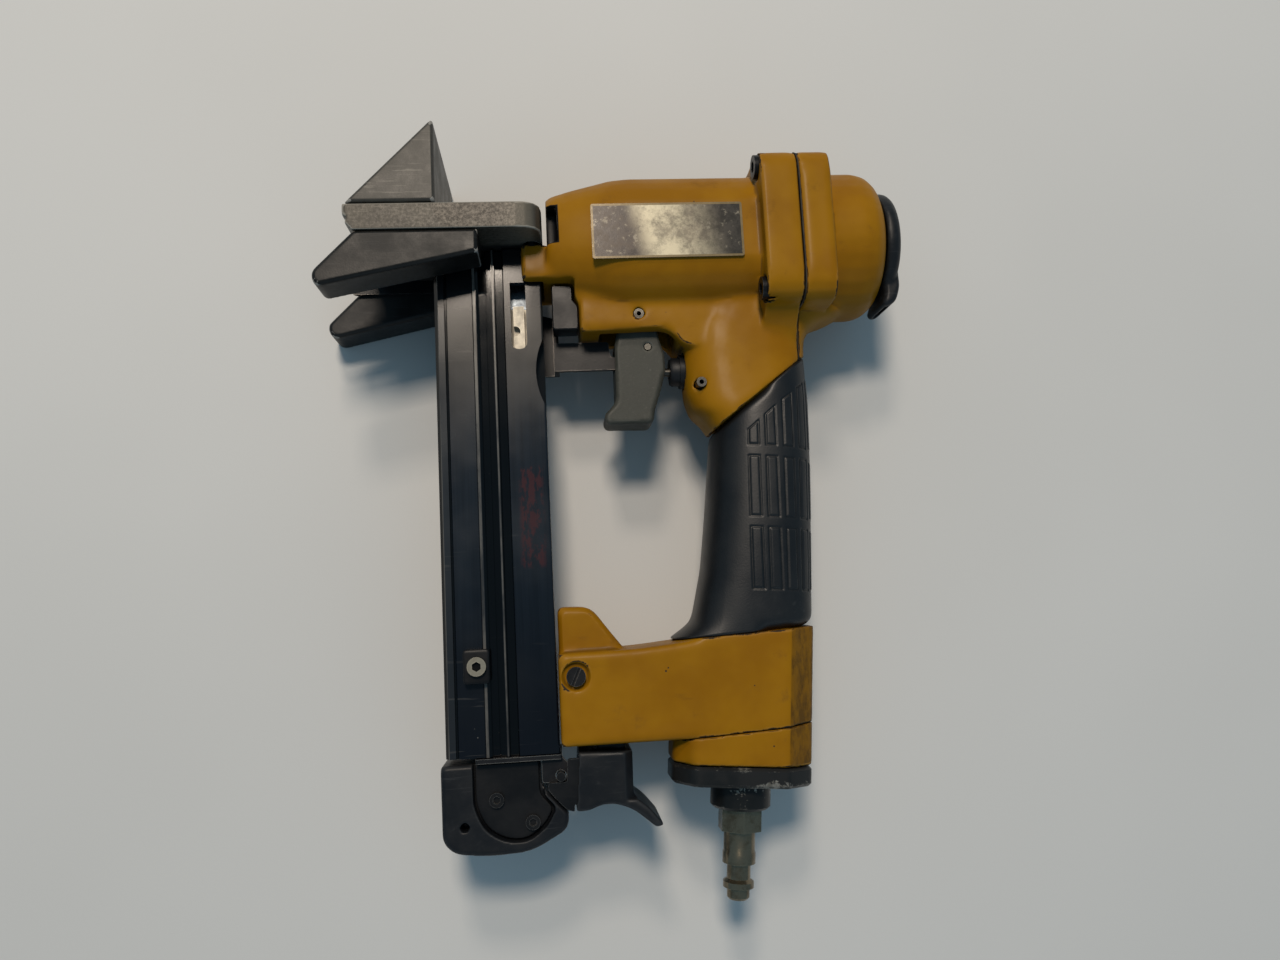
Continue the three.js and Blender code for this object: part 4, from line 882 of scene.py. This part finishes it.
def pad_height(angle, along, reach):
    """How far the pads stand proud at each point: angle in degrees from the right, reach the
    section's radius there, both as grids."""
    turned = np.abs(angle)
    side = SLEEVE_MIDDLE + section_half(along) * np.cos(np.radians(angle))
    height = np.zeros_like(angle)
    for base, per_mm in PAD_COLUMNS:
        centre = base + per_mm * (along - MID_ALONG)
        across = (PAD_HALF_TURN - np.abs(turned - centre)) * np.radians(1) * reach
        for low, high in PAD_ROWS:
            top = np.minimum(high, PAD_TOP + PAD_TOP_SLOPE * side)
            inside = np.minimum(across, np.minimum(along - low, top - along))
            groove = GROOVE_DEPTH * rise(GROOVE_HALF - np.abs(inside), GROOVE_HALF)
            height += PAD_RAISE * rise(inside, PAD_EDGE) - groove
    return height


def cast_on_sleeve(angles):
    """Even grid over the CAD sleeve, a ring of angles for each height along the handle. Returns
    the heights of both its ends, the height of each point and its reach from the middle."""
    source = NODES["rubber_grip"].data
    source.calc_loop_triangles()
    corners = [tuple(v.co) for v in source.vertices]
    tree = BVHTree.FromPolygons(corners, [tuple(t.vertices) for t in source.loop_triangles])

    def reach_at(angle, along):
        """Distance from the section's middle out to the sleeve, or None beside it."""
        half = section_half(along)
        side, out = half * math.cos(angle), SECTION_DEPTH * math.sin(angle)
        length = math.hypot(side, out)
        side, out = side / length, out / length
        start = by_handle(SLEEVE_MIDDLE + FAR_OUT * side, along, FAR_OUT * out)
        middle = by_handle(SLEEVE_MIDDLE, along, 0)
        hit = tree.ray_cast(start, (middle - start).normalized(), FAR_OUT * MM)
        return None if hit[0] is None else FAR_OUT - hit[3] / MM

    def end_of(angle, inner, outer):
        """Height where the sleeve ends, between inner, on it, and outer, past it."""
        for _ in range(END_HALVINGS):
            half = 0.5 * (inner + outer)
            if reach_at(angle, half) is None:
                outer = half
            else:
                inner = half
        return inner

    lows = np.array([end_of(angle, ON_SLEEVE[0], SLEEVE_LOW) for angle in angles])
    highs = np.array([end_of(angle, ON_SLEEVE[1], SLEEVE_HIGH) for angle in angles])
    along = lows + np.linspace(0, 1, RINGS)[:, None] * (highs - lows)
    reach = np.zeros_like(along)
    for ring in range(RINGS):
        for turn, angle in enumerate(angles):
            found = reach_at(angle, along[ring, turn])
            reach[ring, turn] = reach[ring - 1, turn] if found is None else found
    return lows, highs, along, smoothed(reach, REACH_PASSES)


def add_sleeve():
    """The rubber sleeve as an even grid cast on to the CAD sleeve, with its raised pads."""
    # Degrees round the section, counted from its right side, closest together under the pads.
    padded = np.linspace(18, 126, 110)
    front = np.linspace(127, 180, 42)
    right = np.linspace(-16, 16, 16)
    degrees = np.concatenate([right, padded, front, -front[-2::-1], -padded[::-1]])
    angles = np.radians(degrees)
    turns = len(angles)
    lows, highs, along, reach = cast_on_sleeve(angles)
    height = pad_height(degrees[None, :] + 0 * along, along, reach)
    to_end = np.minimum(along - lows, highs - along)
    skin = reach + height - RIM_DROP * (1 - rise(to_end, RIM_WIDTH))
    back_down = np.arange(RINGS - 1, -1, -WALL_STEP)
    skin = np.concatenate([skin, reach[back_down] - SLEEVE_WALL])
    along = np.concatenate([along, along[back_down]])
    side, out = section_half(along) * np.cos(angles), SECTION_DEPTH * np.sin(angles)
    length = np.hypot(side, out)
    side, out = SLEEVE_MIDDLE + skin * side / length, skin * out / length
    points, faces = [], []
    rings = len(skin)
    for ring in range(rings):
        points += [by_handle(side[ring, k], along[ring, k], out[ring, k]) for k in range(turns)]
        below, above = ring * turns, (ring + 1) % rings * turns
        for k in range(turns):
            after = (k + 1) % turns
            faces.append((below + k, below + after, above + after, above + k))
    mesh = bpy.data.meshes.new("rubber_grip_skin")
    mesh.from_pydata(points, [], faces)
    bend = np.zeros(rings * turns, np.float32)
    bend[:RINGS * turns] = (height / GROOVE_DEPTH).ravel()
    for name, values in (("edge", RIM_DUST * bend), ("hollow", -GROOVE_DARKENING * bend)):
        stored = mesh.attributes.new(name, "FLOAT", "POINT")
        stored.data.foreach_set("value", np.clip(values, 0, 1))
    mesh.update()
    stand_for("rubber_grip_skin", mesh, "rubber_grip")


# ---- round-wire springs in place of the CAD ones ------------------------------------------------

SPRINGS = {                              # turns, and the wire's radius in millimetres
    "head_valve_spring": (3, 0.8),
    "contact_spring": (6, 0.36),
    "pusher_spring": (12, 0.36),
    "latch_spring": (3, 0.36),
}
STEPS_A_TURN, WIRE_SIDES = 30, 12


def coil_mesh(node, along_y, turns, wire):
    """A round wire wound inside the CAD spring's box, with half a flat turn at each end."""
    low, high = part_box(node)
    middle = (low + high) / 2
    start, end = (low.y, high.y) if along_y else (low.x, high.x)
    radius = (high.z - low.z) / 2 - wire
    steps = turns * STEPS_A_TURN
    points, faces = [], []
    for step in range(steps + 1):
        turned = turns * step / steps
        climb = min(max((turned - 0.5) / (turns - 1), 0), 1)
        centre = start + wire + climb * (end - start - 2 * wire)
        angle = 2 * math.pi * turned
        for k in range(WIRE_SIDES):
            turn = 2 * math.pi * k / WIRE_SIDES
            out = radius + wire * math.cos(turn)
            up = centre + wire * math.sin(turn)
            across, depth = out * math.cos(angle), out * math.sin(angle)
            if along_y:
                points.append((middle.x + across, up, middle.z + depth))
            else:
                points.append((up, middle.y - across, middle.z + depth))
    for step in range(steps):
        for k in range(WIRE_SIDES):
            a, b = step * WIRE_SIDES + k, step * WIRE_SIDES + (k + 1) % WIRE_SIDES
            faces.append((a, b, b + WIRE_SIDES, a + WIRE_SIDES))
    faces.append(tuple(range(WIRE_SIDES - 1, -1, -1)))
    faces.append(tuple(range(steps * WIRE_SIDES, (steps + 1) * WIRE_SIDES)))
    mesh = bpy.data.meshes.new(node + "_coil")
    mesh.from_pydata(points, [], faces)
    mesh.update()
    return mesh


def add_springs():
    """Replaces each CAD spring that the record marks as deforming with a coil of round wire."""
    for joint in frame["record"]["behaviour"]["joints"]:
        for entry in joint.get("deforming_nodes", []):
            node, axis = entry["node"], entry["mode"][-1]
            turns, wire = SPRINGS[node]
            mesh = coil_mesh(node, axis == "y", turns, wire * MM)
            spring = stand_for(node + "_coil", mesh, node)
            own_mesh(spring)


# ---- CAD nodes that still show, and the floor ---------------------------------------------------


def dress_cad_nodes():
    """Gives every CAD node that still shows its material, with smooth round sides."""
    for node, obj in NODES.items():
        if obj.hide_render:
            continue
        dress(obj.data, node)
        weld = obj.modifiers.new("weld", "WELD")
        weld.merge_threshold = WELD_GAP
        split = obj.modifiers.new("split", "EDGE_SPLIT")
        split.split_angle = SHARP_ANGLE


FLOOR_SIZE = 6.0


def add_floor():
    half = FLOOR_SIZE / 2
    grid = bmesh.new()
    bmesh.ops.create_grid(grid, x_segments=2, y_segments=2, size=half)
    mesh = bpy.data.meshes.new("floor")
    grid.to_mesh(mesh)
    grid.free()
    floor = bpy.data.objects.new("floor", mesh)
    floor.location = (0, 0, cad_box[0].z)
    bpy.context.scene.collection.objects.link(floor)
    mesh.materials.append(floor_board())


# ---- the scene ----------------------------------------------------------------------------------

bpy.context.scene.view_settings.view_transform = "Standard"
add_camera()
add_light()
add_floor()
add_castings()
add_sleeve()
add_springs()
dress_cad_nodes()
